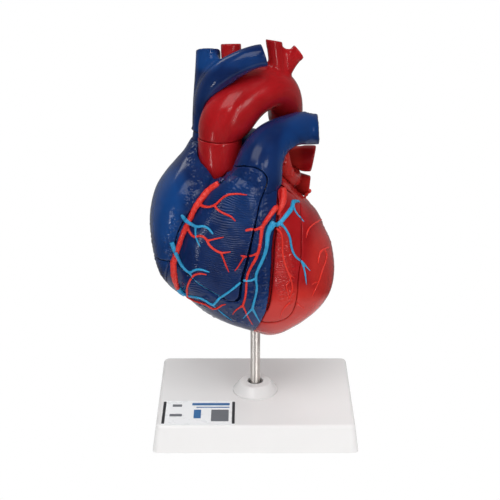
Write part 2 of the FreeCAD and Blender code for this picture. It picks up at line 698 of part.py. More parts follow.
# Coronary vessels: name, side of the heart that it lies on, body of the heart or
# removable wall that carries it, radius and its shares at the start and the end, and
# stops of (x, z) on the lines plan, from which it is laid on the surface.
FRONT, BACK = -1, 1
CORONARIES = [
    (
        "right_coronary_artery", FRONT, "right_wall", "coronary_radius", 1.0, 0.7,
        [
            (-29, 216.5), (-34, 213), (-40, 206), (-44.5, 199), (-49, 191.5),
            (-54, 184), (-57, 177), (-59.3, 170.5), (-60.3, 164), (-60.8, 157.5),
        ],
    ),
    (
        "anterior_descending_artery", FRONT, "heart", "coronary_radius", 0.64, 0.33,
        [
            (14.9, 203), (11.8, 199.5), (8.7, 195), (5.7, 189), (4.1, 183),
            (3.4, 176), (2.6, 168), (0.8, 162.5), (-2.4, 156.5), (-5, 149),
            (-6.6, 142), (-7.4, 134), (-8.8, 126), (-10.4, 121),
        ],
    ),
    (
        "great_cardiac_vein", FRONT, "heart", "cardiac_vein_radius", 1.0, 0.55,
        [
            (13, 192), (11, 187), (9.4, 182), (8.4, 175), (7, 166.5), (4.2, 158),
            (1.8, 151), (1.1, 142), (0.8, 135), (-0.5, 128), (-2.4, 120),
        ],
    ),
    (
        "circumflex_artery", FRONT, "left_wall", "coronary_radius", 0.95, 0.6,
        [(20, 214.5), (21.5, 209.5), (20.2, 204.5), (18, 199)],
    ),
    (
        "anterior_left_vein", FRONT, "left_wall", "cardiac_vein_radius", 0.68, 0.8,
        [(16.5, 190), (19.5, 192), (23.6, 195), (27.2, 198.3), (29.2, 203)],
    ),
    (
        "posterior_descending_artery", BACK, "heart", "coronary_radius", 0.55, 0.3,
        [
            (-33, 159.5), (-27.4, 153), (-23, 144.5), (-20, 135), (-17, 125),
            (-13.6, 115.5), (-9.6, 107), (-5, 101),
        ],
    ),
    (
        "coronary_sinus", BACK, "heart", "cardiac_vein_radius", 1.0, 1.25,
        [
            (32, 178), (26.4, 175), (19.7, 172.3), (12.6, 170.5), (5, 169),
            (-2.2, 167.6), (-10, 166.2), (-18, 165),
        ],
    ),
    (
        "middle_cardiac_vein", BACK, "heart", "cardiac_vein_radius", 0.76, 0.36,
        [
            (-19.5, 161), (-18.6, 154), (-16.2, 144.5), (-13.2, 135.5), (-10.3, 126),
            (-7.3, 117), (-3.6, 109),
        ],
    ),
]


def slimmer(route, distance):
    return [(point, radius - distance) for point, radius in route]


def seat_of(bore):
    """Start, direction and radius of a bore, for the valve that sits at its foot."""
    (start, radius), (after, _) = bore[0], bore[1]
    return start, (after - start).normalize(), radius


def passage(centre, way, radius, before, after):
    """Round way through a wall, from before a centre to after it."""
    start = centre - way * before
    return Part.makeCylinder(radius, before + after, start, way)


class Form:
    """Whole masses and hollows of the heart, before it is divided into its pieces."""

    def __init__(self):
        gap, wall = size("seam_gap"), size("vessel_wall")
        mouth, half_septum = size("mouth_recess"), size("septum_wall") / 2
        self.seam = size("heart_shoulder")
        self.below_seam = beyond(Vector(0, 0, self.seam), Vector(0, 0, -1))
        self.above_seam = beyond(Vector(0, 0, self.seam + gap), Vector(0, 0, 1))

        self.aorta = pipe(AORTA)
        self.aorta_big = pipe(slimmer(AORTA, -gap))
        self.aorta_bore = pipe(slimmer(AORTA[1:], wall))
        self.aorta_seat = seat_of(slimmer(AORTA[1:], wall))
        self.trunk = pipe(TRUNK, mouth)
        self.trunk_seat = seat_of(slimmer(TRUNK[2:5], wall))
        self.trunk_bore = pipe(slimmer(TRUNK[2:5], wall))
        self.trunk_big = pipe(slimmer(TRUNK, -gap))
        self.valve_room = {
            "aortic_valve": pipe(slimmer(AORTA[1:], wall + gap)),
            "pulmonary_valve": pipe(
                slimmer(TRUNK[2:5], wall + size("valve_clearance"))
            ).cut(self.aorta),
        }
        self.right_lung_artery = pipe(RIGHT_LUNG_ARTERY, mouth)
        self.cava = pipe(CAVA_ROOT).common(self.below_seam)
        self.cava_big = pipe(slimmer(CAVA_ROOT, -gap))
        self.cava_bore = pipe(slimmer(CAVA_ROOT, wall))
        self.lower_cava = pipe(LOWER_CAVA, mouth)
        self.lung_veins = [pipe(route, mouth) for route in LUNG_VEINS]

        ventricles = skinned(VENTRICLES)
        self.ventricles = ventricles
        self.atrium = skinned(RIGHT_ATRIUM)
        self.blue = ventricles.cut(left_of_groove()).fuse(self.atrium)
        self.red = ventricles.common(left_of_groove())
        floor = moved_plane(ATRIUM_FLOOR, 0)
        self.atrium_above = self.atrium.common(floor)
        self.left_atrium = skinned(LEFT_ATRIUM).fuse(pipe(LEFT_AURICLE))
        self.left_atrial_chamber = skinned(LEFT_ATRIAL_CHAMBER)

        self.atrial_chamber = skinned(ATRIAL_CHAMBER).common(
            moved_plane(ATRIUM_FLOOR, -half_septum)
        )
        self.right_chamber = less(
            skinned(RIGHT_CHAMBER), moved_plane(ATRIUM_FLOOR, half_septum), self.aorta_big
        )
        self.left_chamber = skinned(LEFT_CHAMBER)
        self.socket_hole = Part.makeCylinder(
            size("socket_dia") / 2, size("rod_top") + size("socket_roof")
        )

        ring = size("valve_ring")
        self.tricuspid_way = passage(
            lines(*TRICUSPID_CENTRE), TRICUSPID_WAY,
            size("tricuspid_radius") + ring, 5 * half_septum / 2, 5 * half_septum / 2,
        )
        self.mitral_way = passage(
            lines(*MITRAL_CENTRE), MITRAL_WAY,
            size("mitral_radius") + ring, size("door_before"), size("door_after"),
        )

        # each removable wall fills its own space; the body is cut by a larger one
        seen = lines(0, GROOVE_FRONT, 0).y
        front = wall_prism(RIGHT_WALL, 0, RIGHT_WALL_WAY)
        front_big = wall_prism(RIGHT_WALL, 0, RIGHT_WALL_WAY, gap)
        self.right_space = front.common(moved_plane(RIGHT_WALL_BACK, 0))
        self.right_space_big = front_big.common(moved_plane(RIGHT_WALL_BACK, gap))
        self.left_space = (
            wall_prism(LEFT_WALL, seen, LEFT_WALL_WAY)
            .common(moved_plane(LEFT_WALL_BACK, 0))
            .common(left_of_groove(-gap))
        )
        self.left_space_big = wall_prism(LEFT_WALL, seen, LEFT_WALL_WAY, gap).common(
            moved_plane(LEFT_WALL_BACK, gap)
        )
        back = moved_plane(ATRIUM_WALL_BACK, 0)
        self.atrium_space = back.common(moved_plane(ATRIUM_WALL_FOOT, 0)).cut(front_big)
        back = moved_plane(ATRIUM_WALL_BACK, gap)
        foot = moved_plane(ATRIUM_WALL_FOOT, gap)
        self.atrium_space_big = back.common(foot).cut(front)


def placed(shape, centre, way):
    """Move a shape made about +Z so that its +Z runs along a way from a centre."""
    shape.rotate(Vector(0, 0, 0), *turn_from_z(way))
    shape.translate(centre)
    return shape


def valve_shape(centre, way, radius, leaflets, deep, opening):
    """Ring with a funnel of leaflets that hang from it along the way of the flow."""
    ring, thick = size("valve_ring"), size("leaflet_thick")
    whole = Part.makeCylinder(radius + ring, 2 * ring, Vector(0, 0, -ring))
    whole = whole.cut(Part.makeCylinder(radius, 2 * ring, Vector(0, 0, -ring)))
    lip = radius + ring / 2
    profile = Part.makePolygon([
        Vector(lip, 0, 0), Vector(0.8 * lip + 0.2 * opening, 0, 0.55 * deep),
        Vector(opening, 0, deep), Vector(opening, 0, deep - thick),
        Vector(0.75 * lip + 0.25 * opening, 0, 0.45 * deep - thick),
        Vector(lip - thick, 0, -thick), Vector(lip, 0, 0),
    ])
    share = 360 / leaflets - LEAFLET_SLIT
    for i in range(leaflets):
        leaf = Part.Face(profile).revolve(Vector(0, 0, 0), Vector(0, 0, 1), share)
        leaf.rotate(Vector(0, 0, 0), Vector(0, 0, 1), i * 360 / leaflets)
        whole = whole.fuse(leaf)
    return placed(whole, centre, way)


def rigging(tips, centre, way, reach, spread_radius):
    """Fine cords from each muscle's tip to three points of the leaflets' edges."""
    middle = (tips[0] + tips[1]) / 2
    cords = []
    for tip in tips:
        side = tip - middle
        side = (side - way * side.dot(way)).normalize()
        for turn in (-CORD_FAN, 0, CORD_FAN):
            edge = Rotation(way, turn).multVec(side)
            end = centre + way * reach + edge * spread_radius
            line = end - tip
            cords.append(Part.makeCylinder(size("cord_dia") / 2, line.Length, tip, line))
    return cords[0].multiFuse(cords[1:])


def outlet_valve(label, seat, room):
    """Three pockets on a ring that fits a vessel's bore at its foot."""
    start, way, bore = seat
    ring = size("valve_ring")
    radius = bore - ring - size("seam_gap")
    seated = start + way * 1.5 * ring
    opening = size("pocket_opening")
    valve = valve_shape(seated, way, radius, POCKETS, radius / 2, opening)
    solid(label, valve.common(room))


def inlet_valve(side, name, centre, way, radius, leaflets, routes, chamber, room):
    """Leaflets between an atrium and a ventricle, with the muscles and cords below."""
    deep, opening = LEAFLET_DEPTH * radius, LEAFLET_MOUTH * radius
    valve = valve_shape(centre, way, radius, leaflets, deep, opening)
    muscles = [pipe(route).common(chamber) for route in routes]
    tips = [route[-1][0] for route in routes]
    cords = rigging(tips, centre, way, deep - size("leaflet_thick") / 2, opening)
    solid(name, valve)
    solid(side + "_papillary_muscles", muscles[0].multiFuse(muscles[1:]))
    free = cords.common(chamber.fuse(room))
    solid(side + "_tendinous_cords", less(free, valve, *muscles))


def valves(form):
    outlet_valve("aortic_valve", form.aorta_seat, form.valve_room["aortic_valve"])
    outlet_valve("pulmonary_valve", form.trunk_seat, form.valve_room["pulmonary_valve"])
    inlet_valve(
        "right", "tricuspid_valve", lines(*TRICUSPID_CENTRE), TRICUSPID_WAY,
        size("tricuspid_radius"), TRICUSPID_LEAFLETS, RIGHT_PAPILLARIES,
        form.right_chamber, form.tricuspid_way,
    )
    inlet_valve(
        "left", "mitral_valve", lines(*MITRAL_CENTRE), MITRAL_WAY,
        size("mitral_radius"), MITRAL_LEAFLETS, LEFT_PAPILLARIES, form.left_chamber,
        form.mitral_way,
    )


def removable_walls(form):
    solid(
        "right_ventricle_wall",
        less(
            form.blue.fuse(form.trunk).common(form.right_space),
            form.right_chamber, form.trunk_bore, form.aorta_big,
        ),
    )
    solid(
        "left_ventricle_wall",
        less(form.red.common(form.left_space), form.left_chamber, form.trunk_big),
    )
    solid(
        "right_atrium_wall",
        less(
            form.blue.common(form.atrium_space), form.atrial_chamber,
            form.right_chamber, form.aorta_big, form.cava_big,
        ),
    )


def heart_chambers(form):
    solid(
        "right_ventricle",
        less(
            form.blue, form.atrium_above, form.right_space_big, form.atrium_space_big,
            form.right_chamber, form.aorta, form.trunk, form.socket_hole,
            form.lower_cava, form.tricuspid_way,
        ),
    )
    solid(
        "left_ventricle",
        less(
            form.red, form.left_space_big, form.left_chamber, form.aorta, form.trunk,
            form.socket_hole, form.mitral_way,
        ),
    )
    solid(
        "right_atrium",
        less(
            form.atrium_above, form.right_space_big, form.atrium_space_big,
            form.atrial_chamber, form.aorta, form.trunk, form.cava, form.lower_cava,
            form.tricuspid_way, form.cava_bore,
        ),
    )
    solid(
        "left_atrium",
        less(
            form.left_atrium, form.ventricles, form.atrium, form.left_atrial_chamber,
            form.aorta, form.trunk, form.right_lung_artery, form.mitral_way,
        ),
    )


def fixed_vessels(form):
    solid(
        "aortic_root",
        less(form.aorta.common(form.below_seam), form.aorta_bore, form.right_space_big),
    )
    solid(
        "pulmonary_trunk",
        less(
            form.trunk, form.trunk_bore, form.aorta, form.right_space_big, form.atrium,
            form.right_chamber, form.left_chamber,
        ),
    )
    solid(
        "right_pulmonary_artery",
        less(form.right_lung_artery, form.trunk, form.aorta, form.atrium, form.cava),
    )
    solid(
        "superior_vena_cava_root",
        less(form.cava, form.cava_bore, form.right_lung_artery, form.aorta),
    )
    solid(
        "inferior_vena_cava",
        less(form.lower_cava, form.atrial_chamber, form.right_chamber),
    )
    veins = form.lung_veins[0].multiFuse(form.lung_veins[1:])
    solid(
        "pulmonary_veins",
        less(
            veins, form.left_atrium, form.ventricles, form.atrium,
            form.right_lung_artery, form.trunk,
        ),
    )


def laid_on(masses, stop, side):
    """Point of the surface furthest to the front or back of a stop (x, z)."""
    place = lines(stop[0], 0, stop[1])
    ray = Part.makeLine(place, place + Vector(0, side * REACH, 0))
    ends = [end.Point for mass in masses for end in ray.common(mass).Vertexes]
    return max(ends, key=lambda point: side * point.y)


def touching(shape, others):
    """Those of the others whose boxes meet the shape's box."""
    return [other for other in others if other.BoundBox.intersect(shape.BoundBox)]


def coronary_vessels(form):
    """Half-sunk vessels, cut back to the surface and to the space of their carrier."""
    masses = [form.ventricles, form.atrium]
    others = [form.trunk, form.aorta_big]
    walls = [form.right_space_big, form.left_space_big]
    space = {"right_wall": form.right_space, "left_wall": form.left_space}
    earlier = []
    for label, side, carrier, radius, first, last, stops in CORONARIES:
        route = []
        for i, stop in enumerate(stops):
            share = first + (last - first) * i / (len(stops) - 1)
            route.append((laid_on(masses, stop, side), size(radius) * share))
        whole = pipe(route)
        if carrier in space:
            vessel = whole.common(space[carrier])
            near = touching(vessel, masses + others)
        else:
            vessel = whole
            near = touching(vessel, masses + others + walls + earlier)
        earlier.append(whole)
        solid(label, less(vessel, *near))


def arch_piece(form):
    mouth, wall = size("mouth_recess"), size("vessel_wall")
    branches = [pipe(route, mouth) for route in ARCH_BRANCHES]
    arch = pipe(ARCH, mouth).multiFuse(branches).common(form.above_seam)
    recess = pipe(slimmer(ARCH[:3], wall))
    solid("aortic_arch", arch.cut(recess))
    vein = pipe(CAVA, mouth).fuse(pipe(HEAD_VEIN, mouth)).common(form.above_seam)
    recess = pipe(slimmer(CAVA[:2], wall))
    solid("superior_vena_cava", less(vein, arch, recess))


# ------------------------------------------------------------------------ the model

stand_base()
rod_boss()
base_cover()
grip_pads()
cover_screws()
rod_bush()
stand_rod()
rod_collar()
retaining_ring()
rod_socket()
form = Form()
removable_walls(form)
heart_chambers(form)
fixed_vessels(form)
arch_piece(form)
coronary_vessels(form)
valves(form)

doc.recompute()
for item in doc.Objects:
    if "Invalid" in item.State or "Error" in item.State:
        raise RuntimeError("%s failed: %s" % (item.Label, item.State))
for piece in sub_parts:
    if piece.Shape.isNull() or not piece.Shape.isValid() or not piece.Shape.Solids:
        raise RuntimeError("%s has no valid solid" % piece.Label)

os.makedirs("parts", exist_ok=True)
for piece in sub_parts:
    piece.Shape.exportStep("parts/%s.step" % piece.Label)
    print(
        "%-26s solids %d volume %9.1f"
        % (piece.Label, len(piece.Shape.Solids), piece.Shape.Volume)
    )
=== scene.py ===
"""Looks of a life-size heart teaching model on its stand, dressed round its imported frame.

Lengths are in metres. +Z is up, -Y is the front of the heart and +X is its own left side.
Routes of the coronary vessels on the front are pixels of a 500 x 500 view through the
camera below; each pixel is cast onto the surface that carries the vessel.
"""
import json
import math

import bmesh
import bpy
import numpy as np
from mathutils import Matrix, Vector
from mathutils.bvhtree import BVHTree

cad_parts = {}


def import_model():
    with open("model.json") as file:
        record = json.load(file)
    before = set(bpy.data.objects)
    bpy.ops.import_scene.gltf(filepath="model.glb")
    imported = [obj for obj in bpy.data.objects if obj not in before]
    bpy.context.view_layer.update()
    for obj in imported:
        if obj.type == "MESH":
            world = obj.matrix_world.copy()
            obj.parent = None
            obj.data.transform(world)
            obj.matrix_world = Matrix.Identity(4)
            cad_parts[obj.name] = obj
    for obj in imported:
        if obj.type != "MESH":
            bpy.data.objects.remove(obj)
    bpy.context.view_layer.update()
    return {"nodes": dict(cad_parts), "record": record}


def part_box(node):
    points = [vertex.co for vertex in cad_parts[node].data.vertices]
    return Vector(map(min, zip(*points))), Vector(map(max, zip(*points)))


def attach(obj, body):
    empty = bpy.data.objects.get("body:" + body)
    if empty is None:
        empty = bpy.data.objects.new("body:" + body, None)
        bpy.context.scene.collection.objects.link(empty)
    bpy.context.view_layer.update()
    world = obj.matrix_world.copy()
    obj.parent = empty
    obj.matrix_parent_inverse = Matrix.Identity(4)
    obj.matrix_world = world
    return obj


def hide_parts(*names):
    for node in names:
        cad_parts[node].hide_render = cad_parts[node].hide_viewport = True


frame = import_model()
nodes = frame["nodes"]

MM = 0.001
BODY_OF = {
    node: body
    for body, members in frame["record"]["behaviour"]["bodies"].items()
    for node in members
}

# ------------ camera

VIEW_SIZE = 500
FOCAL_PIXELS = 1361.0
CAMERA_TARGET = Vector((-0.0044, 0.0, 0.149))
CAMERA_RISE = math.radians(21.5)
CAMERA_DISTANCE = 1.094
SENSOR = 36.0
FARTHEST_SEEN = 50.0

look = Vector((0.0, math.cos(CAMERA_RISE), -math.sin(CAMERA_RISE)))
upward = Vector((0.0, math.sin(CAMERA_RISE), math.cos(CAMERA_RISE)))
eye = CAMERA_TARGET - look * CAMERA_DISTANCE
camera = bpy.data.objects.new("camera", bpy.data.cameras.new("camera"))
bpy.context.scene.collection.objects.link(camera)
bpy.context.scene.camera = camera
camera.location = eye
camera.rotation_euler = look.to_track_quat("-Z", "Y").to_euler()
camera.data.sensor_width = SENSOR
camera.data.lens = FOCAL_PIXELS / VIEW_SIZE * SENSOR
camera.data.clip_end = FARTHEST_SEEN


def ray_of(pixel):
    """Direction from the eye through a pixel of the view."""
    across = (pixel[0] - VIEW_SIZE / 2) / FOCAL_PIXELS
    rise = (VIEW_SIZE / 2 - pixel[1]) / FOCAL_PIXELS
    return (look + Vector((1.0, 0.0, 0.0)) * across + upward * rise).normalized()


def pixels_of(points):
    """Pixels of the view at which an array of points appears."""
    offset = points - np.array(eye)
    depth = offset @ np.array(look)
    across = offset[:, 0] / depth * FOCAL_PIXELS + VIEW_SIZE / 2
    down = VIEW_SIZE / 2 - offset @ np.array(upward) / depth * FOCAL_PIXELS
    return np.stack([across, down], axis=1)


# ------------ noise and masks


def smoothstep(low, high, values):
    share = np.clip((values - low) / (high - low), 0.0, 1.0)
    return share * share * (3.0 - 2.0 * share)


def lattice(cells, seed):
    """Repeatable number from 0 to 1 for each whole-numbered cell."""
    mixed = cells[..., 0] * 374761393 + cells[..., 1] * 668265263
    mixed = (mixed + cells[..., 2] * 2246822519 + seed * 3266489917) & 0xFFFFFFFF
    mixed = ((mixed ^ (mixed >> 15)) * 2246822519) & 0xFFFFFFFF
    mixed = ((mixed ^ (mixed >> 13)) * 3266489917) & 0xFFFFFFFF
    return ((mixed ^ (mixed >> 16)) & 0xFFFF) / 65535.0


CORNERS = np.array([(i, j, k) for i in (0, 1) for j in (0, 1) for k in (0, 1)])
AROUND = [(i, j, k) for i in (-1, 0, 1) for j in (-1, 0, 1) for k in (-1, 0, 1)]
# Share of a cell's length at which a pebble ends.
PEBBLE_REACH = 0.62


def ripple(points, length, seed=0):
    """Smooth noise from -1 to 1 with features of a given length."""
    scaled = points / length
    base = np.floor(scaled).astype(np.int64)
    part = scaled - base
    part = part * part * (3.0 - 2.0 * part)
    total = np.zeros(len(points))
    for corner in CORNERS:
        weight = np.prod(np.where(corner, part, 1.0 - part), axis=1)
        total += weight * lattice(base + corner, seed)
    return 2.0 * total - 1.0


def layered(points, layers):
    """Sum of smooth noises, each with a height, a length of its features and a seed."""
    return sum(height * ripple(points, length, seed) for height, length, seed in layers)


def pebbles(points, length, seed=0):
    """Rounded lumps from 0 to 1, one in each cell of a given length."""
    scaled = points / length
    base = np.floor(scaled).astype(np.int64)
    nearest = np.full(len(points), np.inf)
    for step in AROUND:
        cell = base + np.array(step)
        spot = np.stack([lattice(cell, seed + axis) for axis in (1, 2, 3)], axis=1)
        nearest = np.minimum(nearest, ((cell + spot - scaled) ** 2).sum(axis=1))
    return 1.0 - smoothstep(0.0, PEBBLE_REACH, np.sqrt(nearest))


# ------------ mesh helpers


def new_object(name, mesh):
    made = bpy.data.objects.new(name, mesh)
    bpy.context.scene.collection.objects.link(made)
    return made


def smooth_object(name, mesh, paint):
    mesh.polygons.foreach_set("use_smooth", [True] * len(mesh.polygons))
    mesh.materials.clear()
    mesh.materials.append(paint)
    return new_object(name, mesh)


def finished(work, name):
    """Mesh made of a work mesh, which is freed."""
    result = bpy.data.meshes.new(name)
    work.to_mesh(result)
    work.free()
    return result


def remeshed(mesh, voxel):
    """Closed skin of even small faces round a mesh."""
    holder = new_object("holder", mesh)
    skin = holder.modifiers.new("skin", "REMESH")
    skin.mode = "VOXEL"
    skin.voxel_size = voxel
    depsgraph = bpy.context.evaluated_depsgraph_get()
    result = bpy.data.meshes.new_from_object(holder.evaluated_get(depsgraph))
    bpy.data.objects.remove(holder)
    return result


def vectors_of(mesh, field):
    flat = np.empty(len(mesh.vertices) * 3, np.float32)
    mesh.vertices.foreach_get(field, flat)
    return flat.reshape(-1, 3).astype(float)


def points_of(mesh):
    return vectors_of(mesh, "co")


def normals_of(mesh):
    return vectors_of(mesh, "normal")


def set_points(mesh, points):
    mesh.vertices.foreach_set("co", points.astype(np.float32).ravel())
    mesh.update()


def relaxed(mesh, points, rounds):
    """Points drawn towards the mean of their neighbours, some rounds over."""
    edges = np.empty(len(mesh.edges) * 2, np.int64)
    mesh.edges.foreach_get("vertices", edges)
    first, second = edges[0::2], edges[1::2]
    count = np.bincount(edges, minlength=len(points))[:, None]
    for _ in range(rounds):
        total = np.stack(
            [
                np.bincount(first, points[second, axis], len(points))
                + np.bincount(second, points[first, axis], len(points))
                for axis in range(3)
            ],
            axis=1,
        )
        points = 0.5 * points + 0.5 * total / count
    return points


def refined(mesh, wanted):
    """Mesh whose faces are split in four wherever the wanted share is above a tenth."""
    work = bmesh.new()
    work.from_mesh(mesh)
    chosen = [
        face.edges for face in work.faces if max(wanted[v.index] for v in face.verts) > 0.1
    ]
    edges = list({edge for ring in chosen for edge in ring})
    bmesh.ops.subdivide_edges(work, edges=edges, cuts=1, use_grid_fill=True)
    return finished(work, "refined")


def add_band(work, first, second):
    """Faces between two rings of as many corners."""
    made = []
    for k in range(len(first)):
        after = (k + 1) % len(first)
        made.append(work.faces.new((first[k], first[after], second[after], second[k])))
    return made


def tree_of(mesh):
    vertices = [v.co.copy() for v in mesh.vertices]
    return BVHTree.FromPolygons(vertices, [tuple(p.vertices) for p in mesh.polygons])


def joined(meshes):
    """One mesh that holds the faces of several."""
    whole = bmesh.new()
    for mesh in meshes:
        whole.from_mesh(mesh)
    return finished(whole, "joined")


def largest_piece(mesh):
    """Mesh of the connected piece that has the most corners."""
    work = bmesh.new()
    work.from_mesh(mesh)
    left, best = set(work.verts), set()
    while left:
        piece, rim = set(), {left.pop()}
        while rim:
            piece |= rim
            rim = {edge.other_vert(v) for v in rim for edge in v.link_edges} - piece
        left -= piece
        if len(piece) > len(best):
            best = piece
    bmesh.ops.delete(work, geom=[v for v in work.verts if v not in best])
    return finished(work, "largest")


# ------------ materials

VINYL_SPECULAR = 0.4
INNER_PINK = (0.50, 0.17, 0.13)
# Painted shade in the seams: the share of its deep tone that a paint keeps there.
PAINTED_SEAM_SHADE = 0.15
# Scales of the noise that gives clouds in the tone, wear of the gloss and orange peel.
VINYL_CLOUDS, VINYL_WEAR, VINYL_PEEL = 42.0, 160.0, 900.0
PLASTIC_CLOUDS, PLASTIC_WEAR = 30.0, 120.0
GRAIN, GRAIN_BUMP, GRAIN_HEIGHT = 700.0, 0.05, 0.0003
PEEL_BUMP, PEEL_HEIGHT = 0.12, 0.0004


def material(name):
    made = bpy.data.materials.new(name)
    made.use_nodes = True
    return made, made.node_tree


def set_node(net, kind, **values):
    """Node whose inputs have values; an underscore stands for a space."""
    made = net.nodes.new(kind)
    for name, value in values.items():
        made.inputs[name.replace("_", " ")].default_value = value
    return made


def noise_node(net, scale, detail=3.0):
    place = net.nodes.new("ShaderNodeTexCoord")
    made = set_node(net, "ShaderNodeTexNoise", Scale=scale, Detail=detail)
    net.links.new(place.outputs["Object"], made.inputs["Vector"])
    return made.outputs["Fac"]


def spread_node(net, source, low, high, from_low=0.35, from_high=0.65):
    made = set_node(
        net, "ShaderNodeMapRange", From_Min=from_low, From_Max=from_high, To_Min=low,
        To_Max=high,
    )
    net.links.new(source, made.inputs["Value"])
    return made.outputs["Result"]


def mix_node(net, factor, first, second):
    """Colour mix; each side is a colour or another node's output."""
    made = net.nodes.new("ShaderNodeMix")
    made.data_type = "RGBA"
    net.links.new(factor, made.inputs["Factor"])
    for socket, value in ((made.inputs["A"], first), (made.inputs["B"], second)):
        if isinstance(value, tuple):
            socket.default_value = (*value, 1.0)
        else:
            net.links.new(value, socket)
    return made.outputs["Result"]


def bump_node(net, height, strength, distance):
    made = set_node(net, "ShaderNodeBump", Strength=strength, Distance=distance)
    net.links.new(height, made.inputs["Height"])
    return made.outputs["Normal"]


def attribute_node(net, name):
    made = net.nodes.new("ShaderNodeAttribute")
    made.attribute_name = name
    return made.outputs["Fac"]


def painted_vinyl(name, deep, light, bright_tone_and_light=None, rough=0.13):
    """Glossy paint on moulded vinyl, cloudy in tone.

    Skins of the heart also have a brighter tone in places, partly painted light, pink
    insides, and painted shade darkening their seams.
    """
    made, net = material(name)
    shader = net.nodes["Principled BSDF"]
    clouds = noise_node(net, VINYL_CLOUDS, 4.0)
    tone = spread_node(net, clouds, 0.0, 1.0, 0.3, 0.7)
    colour = mix_node(net, tone, deep, light)
    if bright_tone_and_light:
        # Brighter places on the front: partly lighter paint, partly painted light.
        lift = attribute_node(net, "bright_tone_and_light")
        colour = mix_node(net, lift, colour, bright_tone_and_light)
        mask = attribute_node(net, "outside")
        colour = mix_node(net, mask, INNER_PINK, colour)
        # Painted shade: the seam attribute darkens the paint towards its deep tone.
        painted_seam_shade = spread_node(net, attribute_node(net, "seam"), 0.0, 0.9, 0.2, 0.75)
        shade = tuple(PAINTED_SEAM_SHADE * channel for channel in deep)
        colour = mix_node(net, painted_seam_shade, colour, shade)
    net.links.new(colour, shader.inputs["Base Color"])
    wear = spread_node(net, noise_node(net, VINYL_WEAR), rough - 0.03, rough + 0.07)
    net.links.new(wear, shader.inputs["Roughness"])
    peel = noise_node(net, VINYL_PEEL, 2.0)
    net.links.new(bump_node(net, peel, PEEL_BUMP, PEEL_HEIGHT), shader.inputs["Normal"])
    shader.inputs["Specular IOR Level"].default_value = VINYL_SPECULAR
    return made


def plastic(name, colour, rough, grain=GRAIN, bump=GRAIN_BUMP, metal=0.0, shade=0.93):
    """Moulded or turned material with faint grain and uneven gloss."""
    made, net = material(name)
    shader = net.nodes["Principled BSDF"]
    clouds = noise_node(net, PLASTIC_CLOUDS)
    darker = tuple(channel * shade for channel in colour)
    net.links.new(mix_node(net, clouds, darker, colour), shader.inputs["Base Color"])
    wear = spread_node(net, noise_node(net, PLASTIC_WEAR, 4.0), 0.8 * rough, 1.25 * rough)
    net.links.new(wear, shader.inputs["Roughness"])
    fine = noise_node(net, grain, 2.0)
    net.links.new(bump_node(net, fine, bump, GRAIN_HEIGHT), shader.inputs["Normal"])
    shader.inputs["Metallic"].default_value = metal
    return made


# Name, deep and light tones of the clouds, tone of the brighter places (partly lighter paint,
# partly painted light), and roughness.
PAINTS = [
    ("venous_blue", (0.004, 0.014, 0.070), (0.007, 0.026, 0.108), (0.007, 0.048, 0.19)),
    ("arterial_red", (0.28, 0.006, 0.008), (0.38, 0.010, 0.013), (0.54, 0.032, 0.024)),
    ("coronary_red", (0.54, 0.016, 0.012), (0.70, 0.040, 0.028), None, 0.24),
    ("cardiac_blue", (0.016, 0.21, 0.42), (0.03, 0.34, 0.60), None, 0.24),
    ("valve_cream", (0.55, 0.40, 0.26), (0.72, 0.58, 0.42)),
    ("muscle_pink", (0.42, 0.13, 0.09), (0.56, 0.2, 0.15)),
]
# Name, colour, roughness, scale and strength of the grain, metal and share of the colour
# that the darker clouds keep.
PLASTICS = [
    ("cord_ivory", (0.78, 0.72, 0.58), 0.4),
    ("base_white", (0.85, 0.84, 0.835), 0.12, 400.0, 0.01, 0.0, 0.98),
    ("cover_white", (0.68, 0.69, 0.70), 0.45, 900.0, 0.2),
    ("grip_rubber", (0.02, 0.02, 0.02), 0.75, 900.0, 0.3),
    ("screw_steel", (0.55, 0.55, 0.54), 0.3, GRAIN, GRAIN_BUMP, 1.0),
    ("bush_nylon", (0.022, 0.022, 0.025), 0.5),
    ("rod_chrome", (0.93, 0.885, 0.835), 0.33, 300.0, 0.0, 1.0),
    ("collar_steel", (0.10, 0.10, 0.10), 0.3, GRAIN, GRAIN_BUMP, 0.6),
    ("ring_steel", (0.35, 0.35, 0.36), 0.35, GRAIN, GRAIN_BUMP, 1.0),
    ("socket_plastic", (0.62, 0.60, 0.54), 0.5),
    ("label_white", (0.93, 0.94, 0.95), 0.3, 900.0, 0.03, 0.0, 0.98),
    ("label_ink", (0.03, 0.03, 0.035), 0.35),
    ("label_blue_ink", (0.04, 0.16, 0.38), 0.35),
    ("label_grey_ink", (0.16, 0.17, 0.19), 0.35),
]
MATERIALS = {row[0]: painted_vinyl(*row) for row in PAINTS}
MATERIALS.update({row[0]: plastic(*row) for row in PLASTICS})
DIM_RED = painted_vinyl("coronary_red_dim", (0.56, 0.020, 0.015), (0.72, 0.042, 0.03))

# How far the rings left by turning stretch a highlight, and the quarter turn that
# stretches it along the rod.
STRETCH, ALONG = 0.95, 0.25


def turned_finish(paint):
    """Fine rings round a rod, which draw highlights out along it."""
    net = paint.node_tree
    shader = net.nodes["Principled BSDF"]
    around = net.nodes.new("ShaderNodeTangent")
    around.direction_type = "RADIAL"
    around.axis = "Z"
    net.links.new(around.outputs["Tangent"], shader.inputs["Tangent"])
    shader.inputs["Anisotropic"].default_value = STRETCH
    shader.inputs["Anisotropic Rotation"].default_value = ALONG


turned_finish(MATERIALS["rod_chrome"])
SLOT_OF = {row["node"]: row["material_slot"] for row in frame["record"]["subparts"]}
for name, node in nodes.items():
    node.data.materials.clear()
    node.data.materials.append(MATERIALS[SLOT_OF[name]])

# ------------ skins of the heart

